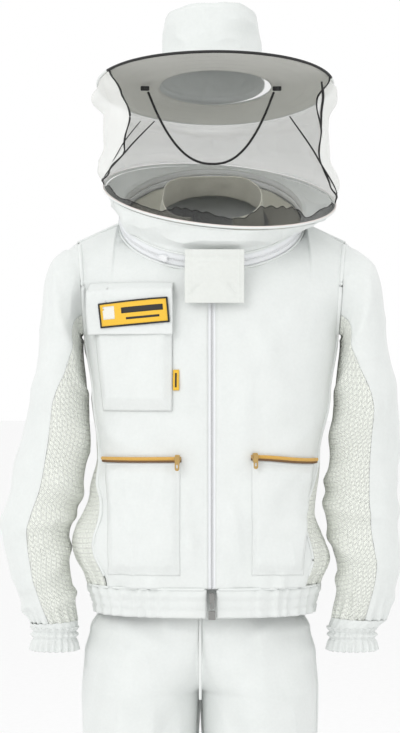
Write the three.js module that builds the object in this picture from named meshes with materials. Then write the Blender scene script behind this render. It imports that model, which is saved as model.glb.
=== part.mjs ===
// A two-piece beekeeping suit: a blouson jacket with ventilated sides and sleeves, a zip-on hood that
// carries a brimmed hat and a black net face veil, and a pair of matching trousers.
// Millimetres, +Z up, the front faces -Y, +X is the wearer's left. The origin is the middle of the neck
// opening, level with the tops of the shoulders beside the neck.
import * as THREE from "three";
import { mergeVertices } from "three/addons/utils/BufferGeometryUtils.js";

// ---- cloth ----
const FABRIC = 2; // cotton panel with its seam allowances
const AIR_MESH = 5; // three-layer ventilated mesh
const NET = 1.2; // veil net
const GAP = 0.6; // clearance between pieces that touch
const DEG = Math.PI / 180;

// ---- torso ----
const FRONT_DEPTH = 130;
const BACK_DEPTH = 125;
const SQUARENESS = 2.35; // order of the superellipse that the torso's section follows
const CHEST_Z = -190; // armpit level
const HEM_TOP_Z = -587;
const HEM_BOTTOM_Z = -632;
const CHEST_SHARE = 0.68; // share of a front panel's height that lies below the armpits
const SHOULDER_X = 213;
const SEAM_HALF = 1.6; // half the gap along the shoulder seam
const SHOULDER_DROP = 0.46; // fall of the shoulder line over its run
const ARMHOLE_SWELL = 108;
const HALF_WIDTH = {
  right: [[HEM_BOTTOM_Z, 186], [-590, 196], [-520, 222], [-440, 194], [-384, 182], [-290, 190], [CHEST_Z, 203]],
  left: [[HEM_BOTTOM_Z, 164], [-590, 172], [-545, 189], [-470, 168], [-384, 173], [-290, 190], [CHEST_Z, 203]],
};
const SEAM_ANGLE = [[HEM_BOTTOM_Z, 36], [-500, 36], [-370, 13], [CHEST_Z, 11]]; // half width of the mesh

// ---- sleeves: stations from the armhole to the cuff, as [outer x, outer z, inner x, inner z, y, depth] ----
const SLEEVE = {
  right: [
    [257, -80, 211, -200, 0, 80],
    [279, -231, 207, -268, -2, 70],
    [291, -300, 202, -322, -4, 64],
    [318, -425, 206, -430, -8, 57],
    [334, -500, 233, -505, -10, 54],
    [312, -597, 226, -590, -17, 49],
    [288, -650, 213, -645, -22, 42],
  ],
  left: [
    [259, -80, 211, -200, 0, 80],
    [286, -220, 207, -262, -2, 70],
    [296, -300, 202, -322, -4, 64],
    [297, -392, 189, -404, -6, 58],
    [297, -480, 186, -488, -10, 55],
    [299, -566, 203, -564, -15, 51],
    [278, -645, 191, -640, -22, 42],
  ],
};
const CUFF = { right: [286, 213], left: [262, 185], topZ: -657, bottomZ: -692, depth: 37 };
const SLEEVE_SEAM = [[0, 46], [0.16, 52], [0.42, 96], [1, 100]]; // half angle of the sleeve's mesh

// ---- neck zip: a ring that leans forward ----
const NECK_R = 147;
const NECK_LEAN = 32 * DEG;
const NECK_CENTRE = new THREE.Vector3(0, 0, -4);
const TAPE_WIDTH = 11;
const TAPE = 1.6;
const COLLAR_R = 84;
const COLLAR_HEIGHT = 44;

// ---- zips ----
const ZIP_TAPE_WIDTH = 12;
const ZIP_BOTTOM_Z = -624;
const SLIDER = { width: 10, height: 15, depth: 6 };
const PULL = { width: 7, length: 22, thickness: 1.6 };

// ---- hood ----
const BRIM = { x: 6, y: 0, z: 203, halfWidth: 190, halfDepth: 190, rise: 38, saddle: -3, tilt: 0 };
const HOOP = { x: 13, y: 4, z: 33, halfWidth: 183, halfDepth: 172, rise: -60, saddle: 0, tilt: -15 };
const HOOP_WIRE = 3.4;
const BRIM_THICKNESS = 3;
const CROWN = { halfWidth: 82, halfDepth: 96, height: 110, topShare: 0.86 };

// ---- trousers ----
const CROTCH_Z = -756;
const RISE_Z = -610;
const ANKLE_Z = -1545;
const ANKLE_BAND = 42;
const TROUSER_TOP_Z = -500;
const LEG_SPLIT_X = -18;
const LEG_WIDTH = [[ANKLE_Z, 124], [-1500, 150], [-1150, 172], [CROTCH_Z, 186]];
const HIP_WIDTH = [[CROTCH_Z, 186], [-700, 182], [-660, 173], [-625, 157], [TROUSER_TOP_Z, 136]];
const TROUSER_DEPTH = [[ANKLE_Z, 66], [-1500, 80], [-1150, 94], [CROTCH_Z, 113], [-625, 104], [TROUSER_TOP_Z, 98]];

const suit = new THREE.Group();
const vec = (x, y, z) => new THREE.Vector3(x, y, z);
const lerp = THREE.MathUtils.lerp;

const finish = (color, roughness, metalness = 0) =>
  new THREE.MeshStandardMaterial({ color, roughness, metalness });
const COTTON = finish(0xe9ece8, 0.9);
const VENT = finish(0xdfe4d6, 0.95);
const BLACK_NET = finish(0x1b1d1c, 0.8);
const PIPING = finish(0xdda63f, 0.6);
const BADGE_YELLOW = finish(0xe3b62c, 0.7);
const ZIP_WHITE = finish(0xe4e8ef, 0.5);
const METAL = finish(0x8f9490, 0.35, 1);
const ELASTIC = finish(0x161616, 0.8);

function add(name, geometry, material) {
  const mesh = new THREE.Mesh(geometry, material);
  mesh.name = name;
  suit.add(mesh);
  return mesh;
}

// A smooth value through [position, value] keys, which are in rising order of position.
function through(keys, at) {
  if (at <= keys[0][0]) return keys[0][1];
  for (let i = 1; i < keys.length; i++) {
    const [from, a] = keys[i - 1];
    const [to, b] = keys[i];
    if (at <= to) {
      const t = (at - from) / (to - from);
      return lerp(a, b, t * t * (3 - 2 * t));
    }
  }
  return keys[keys.length - 1][1];
}

function signedVolume(position, index) {
  let volume = 0;
  const a = vec(0, 0, 0);
  const b = vec(0, 0, 0);
  const c = vec(0, 0, 0);
  for (let i = 0; i < index.length; i += 3) {
    a.fromArray(position, index[i] * 3);
    b.fromArray(position, index[i + 1] * 3);
    c.fromArray(position, index[i + 2] * 3);
    volume += a.dot(b.cross(c)) / 6;
  }
  return volume;
}

// A closed solid between two grids of points, the outer and the inner face of a cloth.
function solidBetween(outer, inner, closed) {
  const rows = outer.length;
  const columns = outer[0].length;
  const position = [...outer.flat(), ...inner.flat()].flatMap((p) => [p.x, p.y, p.z]);
  const index = [];
  const at = (face, i, j) => face * rows * columns + i * columns + (j % columns);
  const quad = (a, b, c, d) => index.push(a, b, c, a, c, d);
  const last = closed ? columns : columns - 1;
  for (let i = 0; i < rows - 1; i++) {
    for (let j = 0; j < last; j++) {
      quad(at(0, i, j), at(0, i, j + 1), at(0, i + 1, j + 1), at(0, i + 1, j));
      quad(at(1, i, j), at(1, i + 1, j), at(1, i + 1, j + 1), at(1, i, j + 1));
    }
    if (!closed) {
      quad(at(0, i, 0), at(0, i + 1, 0), at(1, i + 1, 0), at(1, i, 0));
      quad(at(0, i, last), at(1, i, last), at(1, i + 1, last), at(0, i + 1, last));
    }
  }
  for (let j = 0; j < last; j++) {
    quad(at(0, 0, j), at(1, 0, j), at(1, 0, j + 1), at(0, 0, j + 1));
    quad(at(0, rows - 1, j), at(0, rows - 1, j + 1), at(1, rows - 1, j + 1), at(1, rows - 1, j));
  }
  if (signedVolume(position, index) < 0) index.reverse();
  const geometry = new THREE.BufferGeometry();
  geometry.setAttribute("position", new THREE.Float32BufferAttribute(position, 3));
  return geometry.setIndex(index);
}

const verticalAxis = (p) => vec(0, 0, p.z);

// The unit normal of a surface at (u, v), pointing away from the core of the body it wraps.
function normalAt(surface, u, v, core) {
  const step = 2e-3;
  const across = surface(u + step, v).sub(surface(u - step, v));
  const along = surface(u, v + step).sub(surface(u, v - step));
  const point = surface(u, v);
  const normal = across.cross(along).normalize();
  return normal.dot(point.sub(core(point))) < 0 ? normal.negate() : normal;
}

// A cloth of the given thickness on surface(u, v), its inner face lifted off the surface by lift.
function cloth(surface, columns, rows, thickness, options = {}) {
  const { closed = false, lift = 0, core = verticalAxis } = options;
  const faces = [lift + thickness, lift].map((offset) =>
    Array.from({ length: rows + 1 }, (_, i) =>
      Array.from({ length: closed ? columns : columns + 1 }, (__, j) => {
        const u = j / columns;
        const v = i / rows;
        return surface(u, v).addScaledVector(normalAt(surface, u, v, core), offset);
      }),
    ),
  );
  return solidBetween(faces[0], faces[1], closed);
}

const power = (value, exponent) => Math.sign(value) * Math.abs(value) ** exponent;
const SIDES = { left: 1, right: -1 }; // the wearer's left is at +X

// A point of the torso's section at height z. The angle is 0 at the centre front, 90 at +X and -90 at -X.
function torso(angle, z) {
  const share = 2 / SQUARENESS;
  const width = through(HALF_WIDTH[angle < 0 || angle > 180 ? "right" : "left"], z);
  const depth = Math.cos(angle * DEG) > 0 ? FRONT_DEPTH : BACK_DEPTH;
  return vec(
    width * power(Math.sin(angle * DEG), share),
    -depth * power(Math.cos(angle * DEG), share),
    z,
  );
}

// A point of the neck ring. turn is 0 at the front and 90 at +X; height is along the ring's own axis.
function neckRing(turn, radius = NECK_R, height = 0) {
  const flat = vec(radius * Math.sin(turn * DEG), -radius * Math.cos(turn * DEG), height);
  return flat.applyAxisAngle(vec(1, 0, 0), NECK_LEAN).add(NECK_CENTRE);
}

const ridgeZ = (x) => NECK_CENTRE.z - 10 - (Math.abs(x) - NECK_R) * SHOULDER_DROP;

// The front or the back of one side of the jacket, from the hem to the neck ring and shoulder line.
// u runs from the centre out to the side seam and armhole, v from the hem up.
const NECK_SHARE = 0.62; // share of a panel's top edge that lies along the neck ring
function bodyHalf(sign, back) {
  const depth = back ? 1 : -1;
  const angleOf = (u, z) => {
    const outer = 90 - through(SEAM_ANGLE, z);
    return back ? sign * (180 - u * outer) : sign * u * outer;
  };
  return (u, v) => {
    if (v <= CHEST_SHARE) {
      const z = lerp(HEM_TOP_Z, CHEST_Z, v / CHEST_SHARE);
      return torso(angleOf(u, z), z);
    }
    const t = (v - CHEST_SHARE) / (1 - CHEST_SHARE);
    const chest = torso(angleOf(u, CHEST_Z), CHEST_Z);
    const ridge = Math.max(0, (u - NECK_SHARE) / (1 - NECK_SHARE));
    const ringTurn = (Math.min(u, NECK_SHARE) / NECK_SHARE) * 90;
    const ridgeX = lerp(NECK_R + 2, SHOULDER_X, ridge);
    const top = ridge > 0
      ? vec(sign * ridgeX, depth * SEAM_HALF, ridgeZ(ridgeX))
      : neckRing(sign * (back ? 180 - ringTurn : ringTurn), NECK_R + 2, -TAPE_WIDTH - 4 * GAP);
    if (Math.abs(top.y) < SEAM_HALF) top.y = depth * SEAM_HALF;
    const swell = lerp(Math.abs(chest.y), ARMHOLE_SWELL, u ** 3);
    const knee = vec(
      lerp(chest.x, top.x, 0.35),
      depth * swell,
      lerp(CHEST_Z, top.z, lerp(0.5, 0.8, Math.min(1, u / NECK_SHARE))),
    );
    return new THREE.QuadraticBezierCurve3(chest, knee, top).getPoint(t);
  };
}

const FRONT = { left: bodyHalf(1, false), right: bodyHalf(-1, false) };
const BACK = { left: bodyHalf(1, true), right: bodyHalf(-1, true) };

// The share u at which a front surface reaches the given distance from the centre line.
function shareAt(surface, distance, v) {
  let low = 0;
  let high = 0.5;
  for (let round = 0; round < 24; round++) {
    const middle = (low + high) / 2;
    if (Math.abs(surface(middle, v).x) < distance) low = middle;
    else high = middle;
  }
  return low;
}

// The point and outward normal of the jacket's front at a given x and z.
function frontAt(x, z) {
  const surface = x < 0 ? FRONT.right : FRONT.left;
  let u = Math.min(0.9, Math.abs(x) / 200);
  let v = (CHEST_SHARE * (z - HEM_TOP_Z)) / (CHEST_Z - HEM_TOP_Z);
  const step = 1e-3;
  for (let round = 0; round < 14; round++) {
    const here = surface(u, v);
    const du = surface(u + step, v).sub(here).divideScalar(step);
    const dv = surface(u, v + step).sub(here).divideScalar(step);
    const determinant = du.x * dv.z - dv.x * du.z;
    const dx = x - here.x;
    const dz = z - here.z;
    u = THREE.MathUtils.clamp(u + (dx * dv.z - dz * dv.x) / determinant, 0.003, 0.99);
    v = THREE.MathUtils.clamp(v + (dz * du.x - dx * du.z) / determinant, 0.003, 0.97);
  }
  return { point: surface(u, v), normal: normalAt(surface, u, v, verticalAxis) };
}

// A cloth that lies on the jacket's front over outline(s, t), which gives [x, z]. lift is the distance
// between the jacket and the cloth, either a number or a function of s and t.
function onFront(outline, columns, rows, thickness, lift) {
  const liftAt = typeof lift === "function" ? lift : () => lift;
  const faces = [thickness, 0].map((extra) =>
    Array.from({ length: rows + 1 }, (_, i) =>
      Array.from({ length: columns + 1 }, (__, j) => {
        const { point, normal } = frontAt(...outline(j / columns, i / rows));
        return point.addScaledVector(normal, liftAt(j / columns, i / rows) + extra);
      }),
    ),
  );
  return solidBetween(faces[0], faces[1], false);
}

const rectangle = (x0, x1, z0, z1) => (s, t) => [lerp(x0, x1, s), lerp(z0, z1, t)];

// ---- jacket body ----
const ROWS = 12;
for (const [side, sign] of Object.entries(SIDES)) {
  const panel = FRONT[side];
  const front = (u, v) => panel(lerp(shareAt(panel, ZIP_TAPE_WIDTH + 2 * GAP, v), 0.985, u), v);
  add(`front_panel_${side}`, cloth(front, 8, ROWS, -FABRIC), COTTON);
  const tape = (u, v) => {
    const line = panel(0, v);
    return vec(sign * lerp(0.4, ZIP_TAPE_WIDTH, u), line.y, line.z);
  };
  add(`front_zip_tape_${side}`, cloth(tape, 1, ROWS, -TAPE), ZIP_WHITE);
  const mesh = (u, v) => {
    const z = lerp(HEM_TOP_Z, CHEST_Z - 2, v);
    const seam = through(SEAM_ANGLE, z) - 1.4;
    return torso(sign * lerp(90 - seam, 90 + seam, u), z);
  };
  add(`side_mesh_${side}`, cloth(mesh, 4, 9, -AIR_MESH), VENT);
}
const wholeBack = (u, v) =>
  u < 0.5 ? BACK.right(0.985 * (1 - 2 * u), v) : BACK.left(0.985 * (2 * u - 1), v);
add("back_panel", cloth(wholeBack, 14, ROWS, -FABRIC), COTTON);
for (const [side, sign] of Object.entries(SIDES)) {
  const band = (u, v) => {
    const angle = sign * lerp(1.6, 179.7, u);
    return torso(angle, lerp(HEM_BOTTOM_Z, HEM_TOP_Z - 2 * GAP, v));
  };
  add(`hem_band_${side}`, cloth(band, 14, 1, -2.5 * FABRIC), COTTON);
}

// ---- sleeves ----
// A point of the armhole. turn is 0 at the shoulder, 90 at the front, 180 at the armpit, 270 at the back.
function armhole(side, turn) {
  const sign = SIDES[side];
  const clear = vec(sign * 2.2, 0, 0);
  const around = ((turn % 360) + 360) % 360;
  const fromTop = Math.min(around, 360 - around) / 180;
  const panel = around < 180 ? FRONT[side] : BACK[side];
  const bottom = 0.86; // the rest of the loop crosses the top of the side mesh
  if (fromTop <= bottom) return panel(1, lerp(1, CHEST_SHARE, fromTop / bottom)).add(clear);
  const seam = through(SEAM_ANGLE, CHEST_Z) * ((1 - fromTop) / (1 - bottom));
  const angle = around < 180 ? 90 - seam : 90 + seam;
  return torso(sign * angle, CHEST_Z).add(clear);
}
function station(side, row, turn) {
  const [outerX, outerZ, innerX, innerZ, y, depth] = row;
  const across = Math.cos(turn * DEG) / 2;
  return vec(
    SIDES[side] * ((outerX + innerX) / 2 + (outerX - innerX) * across),
    y - depth * Math.sin(turn * DEG),
    (outerZ + innerZ) / 2 + (outerZ - innerZ) * across,
  );
}
function sleeve(side) {
  return (turn, v) => {
    const rows = [armhole(side, turn), ...SLEEVE[side].map((row) => station(side, row, turn))];
    const curve = new THREE.CatmullRomCurve3(rows, false, "centripetal");
    return curve.getPoint(THREE.MathUtils.clamp(v, 0, 1));
  };
}
for (const side of Object.keys(SIDES)) {
  const surface = sleeve(side);
  const spine = (p) => {
    const rows = SLEEVE[side];
    const share = THREE.MathUtils.clamp((p.z - rows[0][1]) / (rows[6][1] - rows[0][1]), 0, 1) * 6;
    const from = rows[Math.floor(Math.min(5, share))];
    const to = rows[Math.floor(Math.min(5, share)) + 1];
    const t = share - Math.floor(Math.min(5, share));
    const x = lerp((from[0] + from[2]) / 2, (to[0] + to[2]) / 2, t);
    return vec(SIDES[side] * x, lerp(from[4], to[4], t), p.z);
  };
  const gap = 0.7; // degrees left free at each seam
  const outer = (u, v) => surface((2 * u - 1) * (180 - through(SLEEVE_SEAM, v) - gap), v);
  const inner = (u, v) => surface(180 + (2 * u - 1) * (through(SLEEVE_SEAM, v) - gap), v);
  add(`sleeve_${side}`, cloth(outer, 12, 14, -FABRIC, { core: spine }), COTTON);
  add(`sleeve_mesh_${side}`, cloth(inner, 10, 14, -FABRIC, { core: spine }), VENT);
  const [outerX, innerX] = CUFF[side];
  const cuff = (u, v) => {
    const row = [outerX, 0, innerX, 0, -25, CUFF.depth];
    const point = station(side, row, u * 360);
    const wave = 1 + 0.035 * Math.sin(u * 2 * Math.PI * 9);
    point.x = lerp((SIDES[side] * (outerX + innerX)) / 2, point.x, wave);
    point.z = lerp(CUFF.topZ, CUFF.bottomZ, v);
    return point;
  };
  const middle = (p) => vec((SIDES[side] * (outerX + innerX)) / 2, -25, p.z);
  add(`cuff_${side}`, cloth(cuff, 36, 1, -FABRIC, { closed: true, core: middle }), COTTON);
}

// ---- neck: yoke, collar, zip tapes ----
const yoke = (u, v) => {
  const radius = lerp(COLLAR_R + 7, NECK_R - TAPE - 2 * GAP, v);
  return neckRing(lerp(9, 351, u), radius, lerp(-7, -TAPE_WIDTH + 2, v));
};
const below = (p) => vec(p.x, p.y, p.z - 10);
add("neck_yoke", cloth(yoke, 20, 1, -FABRIC, { core: below }), COTTON);
const collar = (u, v) => neckRing(lerp(24, 336, u), COLLAR_R - 6 * v, lerp(-5, COLLAR_HEIGHT, v));
add("inner_collar", cloth(collar, 18, 2, FABRIC), COTTON);
for (const [name, from, to] of [
  ["neck_zip_lower_tape", -TAPE_WIDTH, -GAP / 2],
  ["neck_zip_upper_tape", GAP / 2, TAPE_WIDTH],
]) {
  const tape = (u, v) => neckRing(u * 360, NECK_R, lerp(from, to, v));
  add(name, cloth(tape, 32, 1, -TAPE, { closed: true }), ZIP_WHITE);
}

// ---- hood: brim, crown, hoop, veil ----
// A point of the brim or hoop at a share of its radius.
function ring(data, turn, share = 1) {
  const sine = Math.sin(turn * DEG);
  const cosine = Math.cos(turn * DEG);
  return vec(
    data.x + share * data.halfWidth * sine,
    data.y - share * data.halfDepth * cosine,
    data.z + share * (data.rise * cosine + data.tilt * sine) + data.saddle * share ** 2 * Math.cos(2 * turn * DEG),
  );
}
const CROWN_SHARE = 0.47;
const brim = (u, v) => ring(BRIM, u * 360, lerp(CROWN_SHARE, 0.985, v));
add("hat_brim", cloth(brim, 36, 2, BRIM_THICKNESS, { closed: true, core: below }), COTTON);
const crownProfile = (inset) => {
  const { height, topShare } = CROWN;
  return [
    [0, height - inset],
    [0.6 * topShare, height - inset],
    [0.9 * topShare, height - 7 - inset],
    [topShare, height - 24 - inset / 2],
    [(1 + topShare) / 2, height / 2],
    [1, 0],
  ].map(([radius, z]) => new THREE.Vector2(radius && (radius * 100 - inset), z));
};
const crown = new THREE.LatheGeometry([...crownProfile(FABRIC), ...crownProfile(0).reverse()], 32);
crown.rotateX(Math.PI / 2);
crown.scale(CROWN.halfWidth / 100, CROWN.halfDepth / 100, 1);
crown.deleteAttribute("normal");
crown.deleteAttribute("uv");
const HAT_TILT = Math.atan2(BRIM.rise, BRIM.halfDepth);
const crownMesh = add("hat_crown", mergeVertices(crown, 1e-3), COTTON);
crownMesh.position.set(BRIM.x - 6, BRIM.y, BRIM.z + BRIM_THICKNESS + 1.5);
crownMesh.rotation.x = -HAT_TILT;

const hoopEdge = (turn, radial, height) => {
  const point = ring(HOOP, turn);
  const out = vec(Math.sin(turn * DEG), -Math.cos(turn * DEG), 0);
  return point.addScaledVector(out, radial).add(vec(0, 0, height));
};
const hoopBand = (u, v) => hoopEdge(u * 360, 0, lerp(-HOOP_WIRE / 2, HOOP_WIRE / 2, v));
add("veil_hoop", cloth(hoopBand, 40, 1, HOOP_WIRE, { closed: true }), COTTON);

// The veil between hoop and brim: v is 0 at the hoop and 1 at the brim.
const VEIL_WAIST = [[0, 0], [0.12, 5], [0.4, -4], [0.7, -9], [0.88, -2], [1, 0]];
function veil(turn, v) {
  const low = hoopEdge(turn, HOOP_WIRE / 2, HOOP_WIRE / 2 + GAP + 0.6);
  const high = ring(BRIM, turn, 0.985).add(vec(0, 0, -2 * GAP - 0.4));
  const point = low.lerp(high, v);
  const out = vec(Math.sin(turn * DEG), -Math.cos(turn * DEG), 0);
  return point.addScaledVector(out, through(VEIL_WAIST, v));
}
const SEAM_RIGHT = [[0, -88], [0.2, -66], [0.4, -54], [0.62, -50], [0.82, -54], [1, -62]];
const SEAM_LEFT = [[0, 88], [0.2, 68], [0.42, 60], [0.6, 66], [0.8, 60], [1, 74]];
const veilGap = 0.5; // degrees left free at each veil seam
const faceNet = (u, v) =>
  veil(lerp(through(SEAM_RIGHT, v) + veilGap, through(SEAM_LEFT, v) - veilGap, u), v);
add("face_net", cloth(faceNet, 14, 8, -NET), BLACK_NET);
const rearVeil = (u, v) =>
  veil(lerp(through(SEAM_LEFT, v) + veilGap, through(SEAM_RIGHT, v) + 360 - veilGap, u), v);
add("rear_veil", cloth(rearVeil, 18, 8, -NET), COTTON);

// The hood's base between the neck zip and the hoop, split at the sides into a bib and a back.
function hoodBase(turn, v) {
  const low = neckRing(turn, NECK_R - TAPE, TAPE_WIDTH + GAP + 1);
  const high = hoopEdge(turn, 0, -HOOP_WIRE / 2 - GAP - 2);
  const out = vec(Math.sin(turn * DEG), -Math.cos(turn * DEG), 0);
  return low.lerp(high, v).addScaledVector(out, 4 * Math.sin(Math.PI * v));
}
const aboveInside = (p) => vec(p.x / 2, p.y / 2, p.z + 40);
const BIB_HALF = 66;
const bib = (u, v) => hoodBase(lerp(-BIB_HALF + 0.4, BIB_HALF - 0.4, u), v);
add("hood_bib", cloth(bib, 14, 3, -FABRIC, { core: aboveInside }), COTTON);
const base = (u, v) => hoodBase(lerp(BIB_HALF + 0.4, 360 - BIB_HALF - 0.4, u), v);
add("hood_back", cloth(base, 24, 3, -FABRIC, { core: aboveInside }), COTTON);

// ---- chin cord: a loop that hangs from two tabs under the brim ----
const CORD_X = { left: 104, right: -106 };
const CORD_TAB_Y = -22;
const CORD_LOW = { x: 2, y: -74, z: 76 };
const CORD_D = 3.8;
const CORD_END_X = { left: 99, right: -101 };
const brimUnder = (x, y) => {
  const across = (x - BRIM.x) / BRIM.halfWidth;
  const along = -(y - BRIM.y) / BRIM.halfDepth;
  const share = Math.hypot(across, along);
  const wave = BRIM.saddle * share ** 2 * Math.cos(2 * Math.atan2(across, along));
  return BRIM.z + BRIM.rise * along + BRIM.tilt * across + wave;
};
const tabTop = {};
for (const [side, x] of Object.entries(CORD_X)) {
  tabTop[side] = brimUnder(x, CORD_TAB_Y) - 4.5;
  const tab = add(`cord_tab_${side}`, new THREE.BoxGeometry(14, 5, 7), ELASTIC);
  tab.position.set(x, CORD_TAB_Y, tabTop[side] - 3.5);
}
const cordPoints = Array.from({ length: 13 }, (_, i) => {
  const t = i / 6 - 1;
  const side = t < 0 ? "right" : "left";
  const reach = Math.abs(t);
  const end = tabTop[side] - 7 - GAP - CORD_D / 2;
  const drop = 1 - reach ** 2.2;
  return vec(
    lerp(CORD_LOW.x, CORD_END_X[side], reach ** 0.95 * 0.985 + 0.015 * reach),
    lerp(CORD_TAB_Y, CORD_LOW.y, Math.sin(0.5 * Math.PI * (1 - reach))),
    lerp(end, CORD_LOW.z, drop),
  );
});
const cordRound = new THREE.Shape();
cordRound.absarc(0, 0, CORD_D / 2, 0, 2 * Math.PI);
const cordPath = new THREE.CatmullRomCurve3(cordPoints);
const cord = new THREE.ExtrudeGeometry(cordRound, {
  steps: 30,
  extrudePath: cordPath,
  bevelEnabled: false,
  curveSegments: 3,
});
add("chin_cord", cord, ELASTIC);

// ---- throat flap over the junction of the two zips ----
const FLAP = { x: 4, width: 92, top: -57, bottom: -139, topStandOff: 19, standOff: 12 };
const flapFace = (u, v) => {
  const z = lerp(FLAP.bottom, FLAP.top, v);
  const x = FLAP.x + FLAP.width * (u - 0.5);
  const bulge = 3 * (1 - (2 * u - 1) ** 2);
  return vec(x, -FRONT_DEPTH - lerp(FLAP.standOff, FLAP.topStandOff, v) - bulge, z);
};
add("throat_flap", cloth(flapFace, 6, 6, FABRIC + 0.4), COTTON);

// ---- zip sliders and pulls ----
// A slider stands upright with its nose up and its flat back on y = 0; the pull hangs from its own origin.
function sliderGeometry() {
  const { width, height, depth } = SLIDER;
  const shape = new THREE.Shape();
  shape.moveTo(-width * 0.3, -height / 2);
  shape.lineTo(width * 0.3, -height / 2);
  shape.lineTo(width / 2, height * 0.1);
  shape.lineTo(width * 0.32, height / 2);
  shape.lineTo(-width * 0.32, height / 2);
  shape.lineTo(-width / 2, height * 0.1);
  shape.closePath();
  const slider = new THREE.ExtrudeGeometry(shape, { depth, bevelEnabled: false });
  return slider.rotateX(Math.PI / 2);
}
function pullGeometry() {
  const { width, length, thickness } = PULL;
  const shape = new THREE.Shape();
  shape.moveTo(-width / 2, 0);
  shape.lineTo(-width / 2, width / 2 - length);
  shape.absarc(0, width / 2 - length, width / 2, -Math.PI, 0, false);
  shape.lineTo(width / 2, 0);
  shape.closePath();
  const hole = new THREE.Path();
  hole.absellipse(0, -length * 0.68, width * 0.22, length * 0.14, 0, 2 * Math.PI);
  shape.holes.push(hole);
  const plate = new THREE.ExtrudeGeometry(shape, {
    depth: thickness,
    bevelEnabled: false,
    curveSegments: 5,
  });
  return plate.rotateX(Math.PI / 2);
}
// A slider and its pull at a point of the jacket, turned about the vertical and then rolled in its plane.
function sliderPair(name, point, turn, roll, withPull = true) {
  const holder = new THREE.Group();
  holder.position.copy(point);
  holder.rotation.set(0, roll, turn, "ZYX");
  suit.add(holder);
  const slider = add(`${name}_slider`, sliderGeometry(), METAL);
  holder.add(slider);
  if (!withPull) return;
  const pull = add(`${name}_pull`, pullGeometry(), METAL);
  pull.position.set(0, -SLIDER.depth - GAP, SLIDER.height * 0.3);
  holder.add(pull);
}
const ZIP_FACE_Y = -FRONT_DEPTH - GAP;
const TOP_SLIDER_Z = -118;
const LOWER_SLIDER_Z = -600;
sliderPair("front_zip_top", vec(0, ZIP_FACE_Y, TOP_SLIDER_Z), 0, 0, false);
sliderPair("front_zip_lower", vec(0, ZIP_FACE_Y, LOWER_SLIDER_Z), 0, 0);
const RETAINER = { width: 11, depth: 5, height: 14 };
const retainer = new THREE.BoxGeometry(RETAINER.width, RETAINER.depth, RETAINER.height);
const retainerBox = add("front_zip_retainer_box", retainer, METAL);
retainerBox.position.set(0, ZIP_FACE_Y - RETAINER.depth / 2 - GAP, HEM_BOTTOM_Z + RETAINER.height / 2 - 2);
const NECK_SLIDER_TURN = 30;
const neckPoint = neckRing(-NECK_SLIDER_TURN, NECK_R + GAP, 0);
const neckHolder = new THREE.Group();
neckHolder.position.copy(NECK_CENTRE);
neckHolder.rotation.x = NECK_LEAN;
suit.add(neckHolder);
const neckArm = new THREE.Group();
neckArm.rotation.z = -NECK_SLIDER_TURN * DEG;
neckHolder.add(neckArm);
const neckSlider = add("neck_zip_slider", sliderGeometry(), METAL);
neckSlider.rotation.y = Math.PI / 2;
neckSlider.position.set(0, -NECK_R - GAP, 0);
neckArm.add(neckSlider);

// ---- chest pocket with its flap, badge and tag ----
const POCKET_DEPTH = 10;
const CHEST_POCKET = { inner: -61, outerTop: -188, outerBottom: -168, top: -138, bottom: -311 };
const chestOuter = (z) =>
  lerp(CHEST_POCKET.outerBottom, CHEST_POCKET.outerTop, (z - CHEST_POCKET.bottom) / (-119 - CHEST_POCKET.bottom));
const pouchLift = (depth, closedTop) => (s, t) => {
  const beside = Math.min(1, 9 * Math.min(s, 1 - s));
  const rise = Math.min(1, 9 * (closedTop ? Math.min(t, 1 - t) : t));
  return GAP + 1.5 + depth * Math.min(beside, rise);
};
const chestOutline = (s, t) => {
  const z = lerp(CHEST_POCKET.bottom, CHEST_POCKET.top, t);
  return [lerp(chestOuter(z), CHEST_POCKET.inner, s), z];
};
add("chest_pocket", onFront(chestOutline, 10, 9, FABRIC, pouchLift(POCKET_DEPTH, false)), COTTON);
const CHEST_FLAP = { top: -112, bottom: -192 };
const flapLift = (s, t) => lerp(POCKET_DEPTH + FABRIC + 2.9, GAP + 1, Math.max(0, 6 * t - 5));
const flapOutline = (s, t) => {
  const z = lerp(CHEST_FLAP.bottom, CHEST_FLAP.top, t);
  return [lerp(chestOuter(z) - 1, CHEST_POCKET.inner + 2, s), z];
};
add("chest_pocket_flap", onFront(flapOutline, 10, 6, FABRIC, flapLift), COTTON);
const BADGE = { x: -114, z: -160, width: 101, height: 38, tilt: 5 * DEG };
const badgeOutline = (s, t) => {
  const across = (s - 0.5) * BADGE.width;
  const up = (t - 0.5) * BADGE.height;
  return [
    BADGE.x + across * Math.cos(BADGE.tilt) - up * Math.sin(BADGE.tilt),
    BADGE.z + across * Math.sin(BADGE.tilt) + up * Math.cos(BADGE.tilt),
  ];
};
const badgeLift = (s, t) => {
  const share = (badgeOutline(s, t)[1] - CHEST_FLAP.bottom) / (CHEST_FLAP.top - CHEST_FLAP.bottom);
  return flapLift(s, share) + FABRIC + GAP + 0.5;
};
add("pocket_badge", onFront(badgeOutline, 10, 4, 1.2, badgeLift), BADGE_YELLOW);
const tagOutline = rectangle(CHEST_POCKET.inner + 1.2, CHEST_POCKET.inner + 10.5, -279, -247);
add("pocket_tag", onFront(tagOutline, 2, 3, 1.2, GAP + 0.5), BADGE_YELLOW);

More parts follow.
